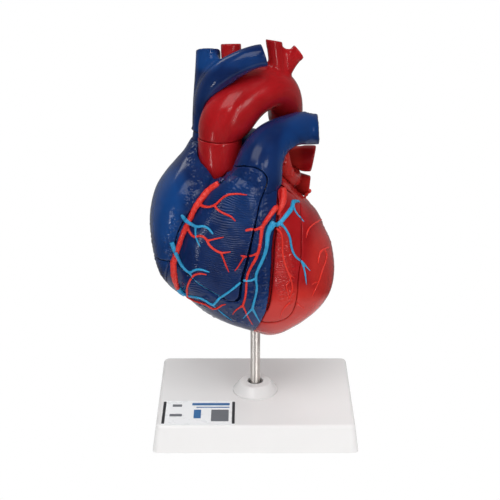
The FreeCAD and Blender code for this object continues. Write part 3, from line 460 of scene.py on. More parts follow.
# Cell size of each moulded piece's skin, in metres.
FINE, MEDIUM = ((0.0006, 0.0009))
SKINS = {
    "right_ventricle_wall": FINE, "right_ventricle": MEDIUM,
    "left_ventricle_wall": FINE, "left_ventricle": MEDIUM,
    "right_atrium_wall": MEDIUM, "right_atrium": MEDIUM,
    "left_atrium": MEDIUM, "aortic_root": FINE, "pulmonary_trunk": MEDIUM,
    "superior_vena_cava_root": MEDIUM, "inferior_vena_cava": MEDIUM,
    "pulmonary_veins": MEDIUM, "aortic_arch": FINE, "superior_vena_cava": MEDIUM,
    "right_pulmonary_artery": MEDIUM,
}
# Sides and depth of the plug in a vessel's end, and how many radii round it are trimmed.
CAP_SIDES = 40
CAP_DEPTH = 0.0045
TRIM_REACH = 2.0
# Ends of vessels: middle and axis in mm, radius in mm, the way the closed end faces, and
# where the end's plane stands: 0 at the middle, 1 at the rim's furthest point.
LEVEL_EDGE = tuple(upward)
CAPS = {
    "aortic_arch": [
        ((-19, 6, 315.5), (-1, 4, 16.5), 7.75, (-0.02, 0.21, 0.98), 0.5),
        ((13.8, 5, 318.5), (-1.7, 0, 14.5), 6.25, (0.16, 0.2, 0.95), 0.0),
        ((33, 8, 309.5), (8, -1, 11), 5.95, (0.776, 0.231, 0.586), 0.0),
    ],
    "superior_vena_cava": [
        ((-36.5, 10, 310), (1, 0, 30), 9.4, LEVEL_EDGE, 0.05),
        ((8, -16, 312.3), (11, 0, 2.3), 8.5, (0.95, 0.116, 0.294), -1.0),
    ],
    "pulmonary_trunk": [((42, 3, 249), (12, 8, -2), 11.95, (1.0, 0.0, 0.05), 1.0)],
    "right_pulmonary_artery": [((-45, 35, 234), (-14, 1, 0), 9.55, (-14, 1, 0), 1.0)],
    "pulmonary_veins": [
        ((43, 22.5, 219), (12, -3.5, 1), 10.6, (0.98, -0.07, -0.18), 1.0),
        ((39, 22, 197), (10, -7, -1), 8.45, (0.99, -0.05, -0.13), 1.0),
        ((-50, 51, 211), (-13, 3, -1), 8.0, (-13, 3, -1), 1.0),
    ],
}


def end_cap(work, middle, axis, radius, face, lift):
    """Cut a vessel's mouth off at a plane and close it with a round plug."""
    axis, face = Vector(axis).normalized(), Vector(face).normalized()
    middle = Vector(middle) * MM
    radius *= MM
    slant = axis.dot(face)
    level = face.dot(middle) + lift * radius * math.sqrt(max(0.0, 1.0 - slant * slant))
    if lift < 1.0:
        near = [v for v in work.verts if (v.co - middle).length < TRIM_REACH * radius]
        faces = {link for v in near for link in v.link_faces}
        parts = {part for link in faces for part in [link, *link.verts, *link.edges]}
        cut = bmesh.ops.bisect_plane(
            work, geom=list(parts), plane_co=face * level, plane_no=face, clear_outer=True
        )["geom_cut"]
        rims = [part for part in cut if isinstance(part, bmesh.types.BMEdge)]
        bmesh.ops.triangle_fill(work, edges=rims, use_beauty=True)
    side = axis.orthogonal().normalized()
    other = axis.cross(side)
    inner, outer = [], []
    for k in range(CAP_SIDES):
        turn = 2 * math.pi * k / CAP_SIDES
        foot = middle + (side * math.cos(turn) + other * math.sin(turn)) * radius
        inner.append(work.verts.new(foot - axis * CAP_DEPTH))
        outer.append(work.verts.new(foot + axis * ((level - face.dot(foot)) / slant)))
    made = [work.faces.new(inner[::-1]), work.faces.new(outer)]
    made += add_band(work, inner, outer)
    bmesh.ops.recalc_face_normals(work, faces=made)


def closed_mesh(name):
    """A node's mesh with the ends of its vessels closed."""
    work = bmesh.new()
    work.from_mesh(nodes[name].data)
    for cap in CAPS.get(name, ()):
        end_cap(work, *cap)
    return finished(work, name)


# Depth below the outer surface down to which a piece has the outside's colour.
PAINT_DEPTH = 0.0042
ENVELOPE_CELL = 0.0022
closed = {name: closed_mesh(name) for name in SKINS}
envelope = largest_piece(remeshed(joined(closed.values()), ENVELOPE_CELL))
envelope_tree = tree_of(envelope)
other_trees = {
    body: tree_of(joined([closed[name] for name in SKINS if BODY_OF[name] != body]))
    for body in {BODY_OF[name] for name in SKINS}
}

# Where the outside is pebbled with fat or drawn in fibres: middle and half size, across
# and down in pixels of the view, and strength.
FAT_PATCHES = [
    (232, 174, 17, 11, 0.7), (250, 178, 16, 10, 0.6), (244, 188, 16, 6, 0.5),
    (262, 205, 7, 22, 1), (268, 222, 6, 16, 0.8), (263, 240, 7, 28, 1), (258, 285, 11, 34, 1),
    (278, 240, 4, 26, 0.8), (286, 290, 9, 18, 0.9), (281, 225, 5, 12, 0.6),
    (200, 170, 11, 20, 0.8), (190, 200, 8, 14, 0.9), (178, 225, 9, 18, 1),
    (168, 246, 7, 12, 0.9), (240, 312, 18, 10, 0.6), (210, 302, 22, 6, 0.7),
    (184, 288, 8, 8, 0.7), (204, 213, 7, 8, 0.4), (290, 165, 9, 24, 0.75),
    (303, 180, 8, 12, 0.3), (290, 262, 7, 30, 0.5), (196, 158, 9, 16, 0.5),
]
FIBRE_PATCHES = [
    (234, 214, 28, 24, 1), (228, 245, 28, 24, 1), (226, 270, 28, 20, 1),
    (246, 232, 12, 40, 0.7), (205, 286, 20, 8, 0.6), (205, 262, 16, 18, 0.35),
    (281, 266, 8, 26, 1), (316, 240, 16, 44, 0.12),
]
FIBRE_PITCH = 0.00185
FIBRE_RELIEF = 0.00072
FIBRE_SLOPE = 0.12
FIBRE_BENDS = ((0.0030, 0.026, 5), (0.0009, 0.008, 17))
UNEVENNESS = ((0.00022, 0.016, 23), (0.00009, 0.007, 29))
FAT_SIZE = 0.0040
FAT_RELIEF = 0.0015
# How squarely a surface faces the view where the front's detail begins and is in full.
FRONT_FACING = (0.05, 0.30)
# Shares of a patch's half size between which its strength fades away.
PATCH_FADE = (0.6, 1.25)
SMOOTH_RELIEF = 0.00006
INNER_RIDGE = 0.0065
INNER_RELIEF = 0.0007
# Depths below the outer surface between which the relief fades.
RELIEF_DEPTHS = (0.0014, 0.0026)
# Crotches of branches filled to about a radius, by swelling and shrinking in steps.
FILLETS = {"aortic_arch": 0.0035, "superior_vena_cava": 0.006}
FILLET_STEPS = 5
FILLET_CELL = 0.0012
FILLET_SHRINK = 1.06
# Grooves along the seams, which also get painted shade: half width, depth, and where they
# open wider.
SEAM_WIDTH = 0.0012
SEAM_DEPTH = 0.0012
SEAM_REACH = 0.0036
WIDE_SEAMS = [
    (275.5, 225, 8, 26, 1.5), (275, 255, 8, 34, 1.5), (272, 290, 8, 26, 1.3),
    (252, 240, 8, 24, 0.3), (246, 262, 8, 24, 0.6), (241, 290, 8, 18, 0.6),
]
# Strength of the groove and its painted shade where a seam does not open wider.
PLAIN_SEAM = 0.15
# A groove in the body of the left ventricle, beside its cover, with painted shade along it.
SHADED_CHANNEL = ("left_ventricle", [(272, 262, 8, 50, 1.0)])
# Where the front is painted brighter: partly a lighter paint tone, partly painted light where
# light falls on it.
BRIGHT_TONE_AND_LIGHT_PATCHES = [
    (164, 205, 20, 46, 1), (172, 190, 16, 26, 0.7), (166, 245, 12, 26, 0.5),
    (240, 205, 18, 30, 0.35), (206, 60, 16, 12, 0.9), (240, 60, 24, 10, 0.35),
    (305, 126, 18, 14, 0.5), (290, 160, 12, 36, 0.6), (300, 315, 44, 30, 0.9),
    (328, 262, 20, 44, 0.6), (284, 262, 8, 40, 0.3), (300, 185, 12, 16, 0.5),
]
DETAILED = {
    "right_ventricle_wall", "left_ventricle_wall", "right_atrium_wall", "right_ventricle",
    "pulmonary_trunk", "left_atrium",
}
SMOOTH = {
    "aortic_root", "aortic_arch", "superior_vena_cava", "superior_vena_cava_root",
    "right_pulmonary_artery", "pulmonary_veins", "inferior_vena_cava",
}
VENTRICLES = {
    "right_ventricle_wall", "left_ventricle_wall", "right_ventricle", "left_ventricle",
}


def patch_mask(view_points, patches):
    """How strongly each point of the view lies in a set of oval patches."""
    total = np.zeros(len(view_points))
    for across, down, half_width, half_height, strength in patches:
        offset = (view_points - (across, down)) / (half_width, half_height)
        reach = np.sqrt((offset ** 2).sum(axis=1))
        total = np.maximum(total, strength * (1.0 - smoothstep(*PATCH_FADE, reach)))
    return total


def facing(normals):
    """1 where the surface faces the view, 0 where it turns away."""
    return smoothstep(*FRONT_FACING, -(normals @ np.array(look)))


def nearest_to(tree, points, most):
    """Distance from each point to a surface, up to a most."""
    found = (tree.find_nearest(Vector(p), most)[3] for p in points)
    return np.array([most if reach is None else reach for reach in found])


def seam_share(name, points, depth):
    """1 at the edges that meet another body's pieces, falling to 0 over the groove."""
    wide = patch_mask(pixels_of(points), WIDE_SEAMS)
    width = SEAM_WIDTH * (1.0 + wide) * (0.6 if name in SMOOTH else 1.0)
    share = np.zeros(len(points))
    near = np.flatnonzero(depth < SEAM_REACH)
    reach = nearest_to(other_trees[BODY_OF[name]], points[near], 3.0 * SEAM_WIDTH)
    share[near] = 1.0 - np.clip(reach / width[near], 0.0, 1.0)
    share *= 1.0 - smoothstep(0.7 * SEAM_REACH, SEAM_REACH, depth)
    plain = 0.0 if name in SMOOTH else PLAIN_SEAM
    return share, plain + (1.0 - plain) * smoothstep(0.1, 0.5, wide)


def moulded_relief(name, points, normals, outside):
    """Height of the moulded detail at each point of the outer surface."""
    front = facing(normals)
    view_points = pixels_of(points)
    rear = 1.0 - front
    cloud = smoothstep(0.0, 0.5, ripple(points, 0.020, 41))
    fat = np.maximum(patch_mask(view_points, FAT_PATCHES) * front, 0.6 * rear * cloud)
    fibres = patch_mask(view_points, FIBRE_PATCHES) * front
    if name in VENTRICLES:
        fibres = np.maximum(fibres, 0.4 * rear)
    fibres *= 1.0 - 0.8 * fat
    warped = points + 0.0006 * ripple(points, 0.004, 7)[:, None]
    lumps = pebbles(warped, FAT_SIZE, 11) + 0.35 * pebbles(warped, 0.5 * FAT_SIZE, 12)
    lumps *= 0.65 + 0.35 * ripple(points, 0.006, 13)
    lines = points[:, 2] + FIBRE_SLOPE * points[:, 0] + layered(points, FIBRE_BENDS)
    wave = 1.0 - np.abs(np.sin(np.pi * lines / FIBRE_PITCH))
    wave *= 0.75 + 0.35 * ripple(points, 0.0035, 19)
    relief = fat * lumps * FAT_RELIEF + fibres * wave * FIBRE_RELIEF
    return outside * (relief + layered(points, UNEVENNESS))


def inner_relief(points, outside):
    """Fleshy ridges on the walls of the chambers."""
    stretched = points * np.array((1.0, 1.0, 0.45))
    ridges = 1.0 - np.abs(ripple(stretched, INNER_RIDGE, 31))
    return (1.0 - outside) * (ridges - 0.75) * INNER_RELIEF


def swell(mesh, amount):
    """Move a mesh's surface outwards by an amount, in steps."""
    for _ in range(FILLET_STEPS):
        points = points_of(mesh) + normals_of(mesh) * (amount / FILLET_STEPS)
        set_points(mesh, relaxed(mesh, points, 1))


def filleted(mesh, radius):
    """Mesh with its creases filled to about a radius."""
    swollen = remeshed(mesh.copy(), FILLET_CELL)
    swell(swollen, radius)
    swollen = remeshed(swollen, FILLET_CELL)
    swell(swollen, -FILLET_SHRINK * radius)
    return joined([mesh, swollen])


def skin(name, voxel):
    """Moulded skin that stands for a node, with soft edges and relief."""
    mesh = closed[name]
    if name in FILLETS:
        mesh = filleted(mesh, FILLETS[name])
    mesh = remeshed(mesh, voxel)
    points = relaxed(mesh, points_of(mesh), 3)
    set_points(mesh, points)
    if name in DETAILED:
        view_points = pixels_of(points)
        wanted = patch_mask(view_points, FAT_PATCHES + FIBRE_PATCHES)
        mesh = refined(mesh, wanted * facing(normals_of(mesh)))
        points = relaxed(mesh, points_of(mesh), 1)
        set_points(mesh, points)
    normals = normals_of(mesh)
    depth = nearest_to(envelope_tree, points, 2.0 * PAINT_DEPTH)
    outside = 1.0 - smoothstep(*RELIEF_DEPTHS, depth)
    painted = 1.0 - smoothstep(PAINT_DEPTH, 1.4 * PAINT_DEPTH, depth)
    seam, strength = seam_share(name, points, depth)
    # The channel is sunk like a seam and gets the same painted shade.
    if name == SHADED_CHANNEL[0]:
        channel = patch_mask(pixels_of(points), SHADED_CHANNEL[1]) * facing(normals)
        seam, strength = np.maximum(seam, channel), np.maximum(strength, channel)
    height = inner_relief(points, painted) - SEAM_DEPTH * strength * seam ** 1.5
    outside *= 1.0 - seam
    if name in SMOOTH:
        height += SMOOTH_RELIEF * outside * ripple(points, 0.012, 23)
    else:
        height += moulded_relief(name, points, normals, outside)
    set_points(mesh, points + normals * height[:, None])
    # Painted light: the front is brighter in the listed patches, partly as a lighter paint
    # tone.
    bright_tone_and_light = patch_mask(pixels_of(points), BRIGHT_TONE_AND_LIGHT_PATCHES) * facing(normals)
    # Painted shade in the seams and the channel, kept to the outer few millimetres.
    painted_seam_shade = seam * strength
    painted_seam_shade *= 1.0 - smoothstep(0.5 * SEAM_REACH, 0.8 * SEAM_REACH, depth)
    for label, values in (("outside", painted), ("seam", painted_seam_shade), ("bright_tone_and_light", bright_tone_and_light)):
        marks = mesh.attributes.new(label, "FLOAT", "POINT")
        marks.data.foreach_set("value", values.astype(np.float32))
    mesh.name = name + "_skin"
    made = smooth_object(name + "_skin", mesh, MATERIALS[SLOT_OF[name]])
    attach(made, BODY_OF[name])
    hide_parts(name)
    return made


skins = {name: skin(name, voxel) for name, voxel in SKINS.items()}

# ------------ coronary vessels

# One tree of all the skins, and the skin to which each of its faces belongs.
corners, faces, carriers = [], [], []
for name, made in skins.items():
    offset = len(corners)
    corners.extend(v.co.copy() for v in made.data.vertices)
    faces.extend(tuple(offset + i for i in p.vertices) for p in made.data.polygons)
    carriers.extend([name] * len(made.data.polygons))
surface_tree = BVHTree.FromPolygons(corners, faces)

# Pixels between a vessel's seats on the front, and the number of sides of its tube.
SAMPLE_STEP = 0.7
SIDES = 12
# Share of its radius by which a vessel's centre stands above the surface.
SEATED = 0.25
# Measured widths include the blur of the view's edges.
TRUE_WIDTH = 0.88
# Seats that a thin vessel's course is evened over, its radius in millimetres, and how many
# more seats for each millimetre beyond it.
EVEN_SEATS, THIN_RADIUS, EVEN_REACH = 3, 0.8, 4.0
# Share by which a vessel's radius wavers.
WAVER = 0.07
# Seats that a piece of a vessel has at the least.
FEWEST_SEATS = 4
VESSEL_CELL = 0.0003
# A seat that lies this much deeper than its neighbours is in a seam.
SUNK = 0.0016
SUNK_REACH = 5
# Arteries that veins run over, the veins that do, and those arteries' surfaces.
CROSSED = {"right_coronary"}
OVER_ARTERIES = {"anterior_cardiac", "small_cardiac"}
artery_trees = []


def spline_through(stops, step):
    """Points along a Catmull-Rom curve through stops, at about even steps."""
    stops = [np.array(stop, float) for stop in stops]
    padded = [2 * stops[0] - stops[1]] + stops + [2 * stops[-1] - stops[-2]]
    result = []
    for before, start, end, after in zip(padded, padded[1:], padded[2:], padded[3:]):
        count = max(2, int(np.linalg.norm((end - start)[:2]) / step))
        for i in range(count):
            t = i / count
            result.append(
                0.5 * (
                    2 * start + (end - before) * t
                    + (2 * before - 5 * start + 4 * end - after) * t * t
                    + (3 * start - before - 3 * end + after) * t * t * t
                )
            )
    result.append(stops[-1])
    return result


def seats_from_view(route, over_arteries=False):
    """Seats met by rays through a route of pixels; None in a seam.

    Each seat is a surface point, its normal, the skin and the vessel's radius there.
    """
    samples, depths = [], []
    for across, down, radius in spline_through(route, SAMPLE_STEP):
        way = ray_of((across, down))
        hit, normal, face, depth = surface_tree.ray_cast(eye, way)
        if hit is None:
            continue
        for tree in artery_trees if over_arteries else ():
            raised, slope, _, reach = tree.ray_cast(eye, way)
            if raised is not None and reach < depth:
                hit, normal, depth = raised, slope, reach
        samples.append((hit, normal, carriers[face], radius * MM))
        depths.append(depth)
    if over_arteries:
        return samples
    for i in range(SUNK_REACH, len(samples) - SUNK_REACH):
        level = 0.5 * (depths[i - SUNK_REACH] + depths[i + SUNK_REACH])
        if depths[i] - level > SUNK:
            samples[i] = None
    return samples


# Middle of the heart, which level rays to its back aim at, how far off they start, and
# the step from one ray to the next.
HEART_AXIS = (-0.004, 0.002)
CAST_FROM = 0.2
ROUND_STEP = 1.2


def seats_round(route):
    """Seats met by level rays towards the heart's axis.

    A stop is an angle from the front towards the heart's left, a height and a radius.
    """
    seats = []
    for angle, level, radius in spline_through(route, ROUND_STEP):
        turn = math.radians(angle)
        way = Vector((math.sin(turn), -math.cos(turn), 0.0))
        start = Vector((HEART_AXIS[0], HEART_AXIS[1], level * MM)) + way * CAST_FROM
        hit, normal, face, _ = surface_tree.ray_cast(start, -way)
        if hit is not None:
            seats.append((hit, normal, carriers[face], radius * MM))
    return seats


def averaged(vectors, reach):
    """Each vector replaced by the mean of its neighbours along the run."""
    result = []
    for i in range(len(vectors)):
        near = min(reach, i, len(vectors) - 1 - i)
        part = vectors[i - near:i + near + 1]
        result.append(sum(part, Vector()) / len(part))
    return result


def tube(run):
    """Closed tube moulded along a run of seats on one body."""
    radii = [
        seat[3] * TRUE_WIDTH * (1.0 + WAVER * math.sin(0.55 * i) * math.sin(0.23 * i + 1.0))
        for i, seat in enumerate(run)
    ]
    thickness = sum(radii) / len(radii) / MM
    reach = EVEN_SEATS + int(EVEN_REACH * max(0.0, thickness - THIN_RADIUS))
    normals = [n.normalized() for n in averaged([seat[1] for seat in run], reach + 2)]
    centres = averaged([seat[0] for seat in run], reach)
    centres = [c + n * r * SEATED for c, n, r in zip(centres, normals, radii)]
    turns = [2 * math.pi * k / SIDES for k in range(SIDES)]
    work = bmesh.new()
    rings = []
    last = len(run) - 1
    for i, (centre, normal, radius) in enumerate(zip(centres, normals, radii)):
        ahead = (centres[min(i + 1, last)] - centres[max(i - 1, 0)]).normalized()
        side = ahead.cross(normal).normalized()
        top = side.cross(ahead)
        rings.append([
            work.verts.new(centre + (side * math.cos(a) + top * math.sin(a)) * radius)
            for a in turns
        ])
    for first, second in zip(rings, rings[1:]):
        add_band(work, first, second)
    work.faces.new(rings[0][::-1])
    work.faces.new(rings[-1])
    bmesh.ops.recalc_face_normals(work, faces=work.faces)
    return finished(work, "tube")


def runs_of(seats):
    """Parts of a row of seats that lie on one body with no seam between them."""
    runs = [[]]
    for seat in seats:
        if seat is None:
            runs.append([])
            continue
        if runs[-1] and BODY_OF[runs[-1][-1][2]] != BODY_OF[seat[2]]:
            runs.append([])
        runs[-1].append(seat)
    return [run for run in runs if len(run) >= FEWEST_SEATS]


# Routes on the front, by tree: stops across and down in pixels of the view, and radii in mm.
ARTERIES = {"right_coronary": [
    [(219.3, 184.2, 2.6), (213.5, 187.6, 3), (206.5, 192.7, 3.1), (200.2, 199.7, 3),
     (196.1, 205.1, 2.8), (192.8, 211.5, 2.6), (189.7, 218.9, 2.5), (185.1, 228.1, 2.4),
     (181.7, 236.7, 2.4), (179.1, 245, 2.3), (176.9, 252, 2.4), (174.3, 259.1, 2.7),
     (173.6, 265.4, 2.9), (174, 273.1, 3), (175.3, 280.7, 2.7), (178, 288.3, 1.9)],
    [(197.3, 203.3, 1.5), (202.7, 206.1, 1.35), (207.8, 207.1, 1.2), (212.9, 206.1, 1.15),
     (217, 203.6, 1.1), (222.1, 198.5, 1.05), (228.2, 194.8, 1), (236.5, 193.8, 0.9),
     (242.2, 194.3, 0.75), (247.1, 194.9, 0.5)],
    [(214.4, 205.6, 1.1), (218, 209.9, 1.05), (224.1, 213.5, 1), (230.8, 216.3, 0.95),
     (235.5, 221.2, 0.6)],
    [(187.1, 225.5, 1.6), (189.7, 231.6, 1.3), (193.8, 236.7, 1.15), (200.4, 235.7, 1.15),
     (205.3, 237.8, 1.2), (208.1, 242.1, 1.2), (209.3, 245, 1.15), (214.8, 249.7, 1.1),
     (220.8, 252.8, 1.1), (225.7, 252.3, 0.9), (230.8, 251.8, 0.5)],
    [(207.2, 240.8, 1.1), (211.6, 239.7, 0.85), (218, 238.3, 0.75), (224, 237.1, 0.45)],
    [(221.2, 252.8, 1.1), (223.8, 259.7, 0.9), (226.3, 266.1, 0.8), (229.1, 272.4, 0.45)],
], "marginal": [
    [(206.8, 274.6, 0.6), (199.5, 273.5, 1), (194.4, 275, 1.1), (190.6, 279.5, 1.05),
     (188, 285.2, 1), (187.1, 290.9, 1.1), (188.4, 296.7, 1.3)],
], "lower": [
    [(182.3, 291.8, 1.2), (187.7, 296.4, 1.3), (193.8, 300.3, 1.1), (200.8, 302.8, 1),
     (206.5, 304.6, 1), (212.9, 308.7, 1), (218, 307.7, 0.95), (221.6, 305.1, 0.85),
     (225.9, 304.3, 0.5)],
], "anterior_descending": [
    [(277.7, 204.6, 2.3), (272.9, 211, 2.35), (268.4, 217.3, 2.2), (264.6, 223.1, 2),
     (262, 228.4, 1.7), (261.1, 236.7, 1.5), (259.8, 245.7, 1.45), (258.1, 252.7, 1.45),
     (255.6, 259.1, 1.4), (251.8, 265.4, 1.3), (248.6, 271.8, 1.25), (246.6, 278.2, 1.1),
     (246.3, 287.8, 1.05), (245.2, 298, 1.05), (243.3, 303.7, 1.1), (242.2, 306.2, 1)],
    [(242.8, 305.4, 1), (238.4, 308.2, 0.8), (234.8, 311.2, 0.65), (232.4, 314.8, 0.4)],
    [(242.8, 305.4, 1), (244.8, 309.7, 0.8), (247.6, 316.1, 0.7), (252.7, 325, 0.4)],
    [(261.9, 226.8, 1.5), (258.2, 228.8, 1.3), (255, 229.8, 1.2), (249.9, 229.2, 1.3),
     (245.4, 230.6, 1)],
    [(257.9, 252.8, 1.3), (254.4, 254.8, 1), (250.5, 255.9, 0.9), (246.7, 256.4, 0.9),
     (242.9, 255.9, 0.95), (240.5, 255.4, 0.5)],
    [(244.5, 256.1, 0.9), (242.5, 259.4, 0.85), (239.9, 263.9, 0.75), (237.1, 268, 0.65),
     (234.6, 270.9, 0.4)],
], "circumflex": [
    [(282.2, 188, 2.2), (283.4, 192.7, 3), (283.1, 199.1, 3), (281.8, 204.8, 2.6),
     (279.9, 209.9, 2), (278.2, 214.4, 1.2)],
]}
# Branches painted in the darker red of the muscle round them.
DIM_ARTERIES = {"diagonal": [
    [(276.2, 228.1, 1.1), (279.5, 230.9, 1.15), (281.8, 235.7, 1.1), (282.4, 244.4, 1),
     (282.6, 252.7, 1), (284.3, 262.2, 1), (287.7, 271.2, 0.95), (291, 280.1, 0.95),
     (292.6, 287.8, 0.9), (291, 294.8, 0.9), (288.5, 299.9, 0.6)],
    [(287.9, 271.8, 0.9), (291, 275.6, 0.7), (294.5, 277.8, 0.4)],
    [(289.4, 281.4, 0.8), (286.2, 285.5, 0.7), (287.5, 290.9, 0.7), (288.9, 296.7, 0.5)],
    [(290.5, 302.4, 0.8), (285.9, 305.9, 0.8), (282.4, 311, 0.7), (279.9, 319, 0.4)],
], "marginal": [
    [(322.3, 218.9, 0.7), (319, 220.9, 0.95), (313.7, 223.9, 0.9), (309.2, 228.1, 0.85),
     (307, 232.9, 0.8), (306.1, 238, 0.5)],
    [(328.7, 247.2, 0.8), (324.9, 248.9, 1), (320.9, 251, 1), (318.9, 256.9, 0.85),
     (318, 263.5, 0.5)],
    [(323.9, 249.2, 1), (326.4, 253.6, 0.95), (325.7, 260.7, 0.85), (322, 271.2, 0.8),
     (318.5, 282, 0.8), (314.9, 289.7, 0.7), (311.8, 296.7, 0.4)],
    [(318.5, 282, 0.7), (313.7, 282.7, 0.5), (311.8, 285.2, 0.35)],
    [(297.1, 303.1, 0.8), (300.9, 306.6, 0.6), (304.1, 308.2, 0.35)],
]}
VEINS = {"anterior_cardiac": [
    [(181.5, 214.8, 1.3), (184.6, 218.9, 1.9), (188.4, 222.2, 1.8), (193.8, 225.5, 1.5),
     (196.6, 227, 1.35), (201.4, 226, 1.2), (206.5, 227, 1.15), (210.4, 230.4, 1.1),
     (213.2, 234.2, 0.7)],
    [(195.8, 226.9, 1.1), (195.6, 232.9, 0.9), (196.8, 239.5, 0.85), (200.4, 246.6, 0.5)],
], "small_cardiac": [
    [(171.8, 242.1, 2.1), (173.6, 247.6, 2.1), (176.7, 255.4, 1.7), (180.8, 263.9, 1.5),
     (185.9, 269.9, 1.35), (190.2, 273, 1.3), (193.5, 270.4, 1.15), (198.9, 269.1, 1.1),
     (204.6, 270.2, 1), (209.6, 272.4, 0.55)],
    [(189.9, 272.7, 1.1), (193.8, 279.1, 0.6), (198.9, 283.9, 0.5), (207.8, 289.3, 0.5),
     (219.9, 296.4, 0.35)],
], "lower_cardiac": [
    [(179, 288, 2.3), (181, 290.8, 2.8), (184.1, 293.9, 2)],
    [(183.6, 292.9, 1.6), (189.9, 296, 1.2), (197, 297.2, 1.1), (202.1, 298.7, 1.1),
     (207.2, 301.3, 1.1), (213.2, 304.8, 1.2), (219.3, 298.3, 1.15), (225.7, 294.1, 1.1),
     (234.3, 287.8, 1.1), (242.9, 280.6, 1.1), (250.2, 280.6, 1.1), (256.3, 277.9, 1.2)],
    [(212.7, 304.3, 1.1), (214.2, 305.9, 0.8), (215.7, 307.7, 0.4)],
    [(217.8, 309.2, 0.4), (223.8, 314.3, 0.75), (232, 320.3, 0.4)],
], "great_cardiac": [
    [(273.9, 221.7, 2.6), (271.8, 225.5, 3), (269, 229.7, 2.6), (267.5, 236.7, 2.05),
     (266.6, 246.9, 1.8), (264.2, 255.6, 1.6), (260.4, 264.5, 1.45), (256.7, 272.2, 1.35),
     (255.6, 278.8, 1.35), (256.8, 285.2, 1.15), (256.3, 292.9, 1.1), (254.2, 301.1, 1.15),
     (252.4, 308.9, 1.2)],
    [(252.7, 308.2, 1.15), (248.6, 312.2, 0.9), (242.8, 318.6, 0.45)],
    [(252.7, 308.2, 1.15), (256.3, 315.6, 0.9), (260.1, 322.2, 0.45)],
], "left_ventricular": [
    [(276.2, 225.3, 1.8), (279.9, 223, 1.9), (283.7, 218.2, 2), (288.2, 212.5, 2.1),
     (291.7, 208, 2.1), (292.8, 204, 2), (292.4, 201.6, 1.7), (291.6, 200.4, 1.1)],
    [(292.6, 203, 1.9), (295.2, 200.6, 1.6), (297.9, 201.4, 1.3), (300.2, 203.6, 0.8)],
    [(292.8, 206.1, 1.3), (294.8, 210.6, 0.9), (297.3, 214.4, 0.8), (299.9, 217, 0.75),
     (304, 221.9, 0.4)],
    [(280.3, 223.7, 1.6), (283.6, 226.5, 1.15), (287.1, 231.6, 1.1), (289.9, 238, 1.1),
     (291, 245.7, 1.1), (293.5, 253.3, 1), (297.3, 258.4, 1), (301.6, 261.2, 0.95),
     (305, 265.2, 0.8), (310.1, 270.9, 0.4)],
    [(301.6, 261.2, 0.95), (303.7, 268, 0.85), (305.1, 274.4, 0.8), (306.4, 284.6, 0.4)],
]}
# Routes on the back, by tree: angles from the front, heights in mm and radii in mm.
BACK_ARTERIES = {"posterior_descending": [
    [(215, 160, 1.6), (205, 150, 1.5), (199, 135, 1.3), (194, 118, 1.2), (186, 104, 1),
     (170, 95, 0.7)],
    [(199, 140, 1.1), (182, 135, 1), (170, 124, 0.8), (160, 110, 0.5)],
], "right_coronary_rear": [
    [(262, 128, 2), (245, 140, 1.9), (228, 152, 1.8), (214, 161, 1.6)],
], "circumflex_rear": [
    [(100, 196, 1.8), (120, 188, 1.5), (140, 182, 1.1)],
    [(100, 196, 1.2), (108, 180, 1.1), (112, 160, 1), (110, 140, 0.8), (105, 120, 0.5)],
]}
BACK_VEINS = {"coronary_sinus": [
    [(130, 178, 2.5), (150, 172, 2.7), (175, 168, 3), (196, 165, 3.1)],
    [(150, 172, 1.5), (146, 155, 1.2), (140, 138, 1), (136, 120, 0.6)],
], "middle_cardiac": [
    [(200, 164, 1.9), (196, 148, 1.7), (190, 132, 1.4), (184, 116, 1.1), (176, 104, 0.7)],
]}
SOLID_VESSELS = {
    "right_coronary_on_right_ventricle_cover": "right_coronary_artery",
    "anterior_descending_on_heart": "anterior_descending_artery",
    "great_cardiac_on_heart": "great_cardiac_vein",
    "circumflex_on_left_ventricle_cover": "circumflex_artery",
    "left_ventricular_on_left_ventricle_cover": "anterior_left_vein",
    "posterior_descending_on_heart": "posterior_descending_artery",
    "coronary_sinus_on_heart": "coronary_sinus",
    "middle_cardiac_on_heart": "middle_cardiac_vein",
}


def vessels(routes, seats_of, paint):
    """Vessels of one colour, one piece for each tree and each body that carries it."""
    trees = {}
    for tree, route in ((tree, route) for tree in routes for route in routes[tree]):
        seats = seats_of(route, True) if tree in OVER_ARTERIES else seats_of(route)
        for run in runs_of(seats):
            trees.setdefault((tree, BODY_OF[run[0][2]]), []).append(tube(run))
    for (tree, body), tubes in trees.items():
        name = "%s_on_%s" % (tree, body)
        mesh = remeshed(joined(tubes), VESSEL_CELL)
        set_points(mesh, relaxed(mesh, points_of(mesh), 3))
        made = smooth_object(name, mesh, paint)
        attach(made, body)
        if name in SOLID_VESSELS:
            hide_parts(SOLID_VESSELS.pop(name))
        if tree in CROSSED:
            artery_trees.append(tree_of(mesh))


vessels(ARTERIES, seats_from_view, MATERIALS["coronary_red"])
vessels(DIM_ARTERIES, seats_from_view, DIM_RED)
vessels(VEINS, seats_from_view, MATERIALS["cardiac_blue"])
vessels(BACK_ARTERIES, seats_round, MATERIALS["coronary_red"])
vessels(BACK_VEINS, seats_round, MATERIALS["cardiac_blue"])
assert not SOLID_VESSELS, SOLID_VESSELS

# ------------ label

LABEL_BODY = "stand"
BASE_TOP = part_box("stand_base")[1][2]
# Steps in which a quarter turn is drawn.
CORNER_STEPS = 6


def on_base(pixel):
    """Point of the base's top that shows at a pixel of the view."""
    way = ray_of(pixel)
    return eye + way * ((BASE_TOP - eye.z) / way.z)


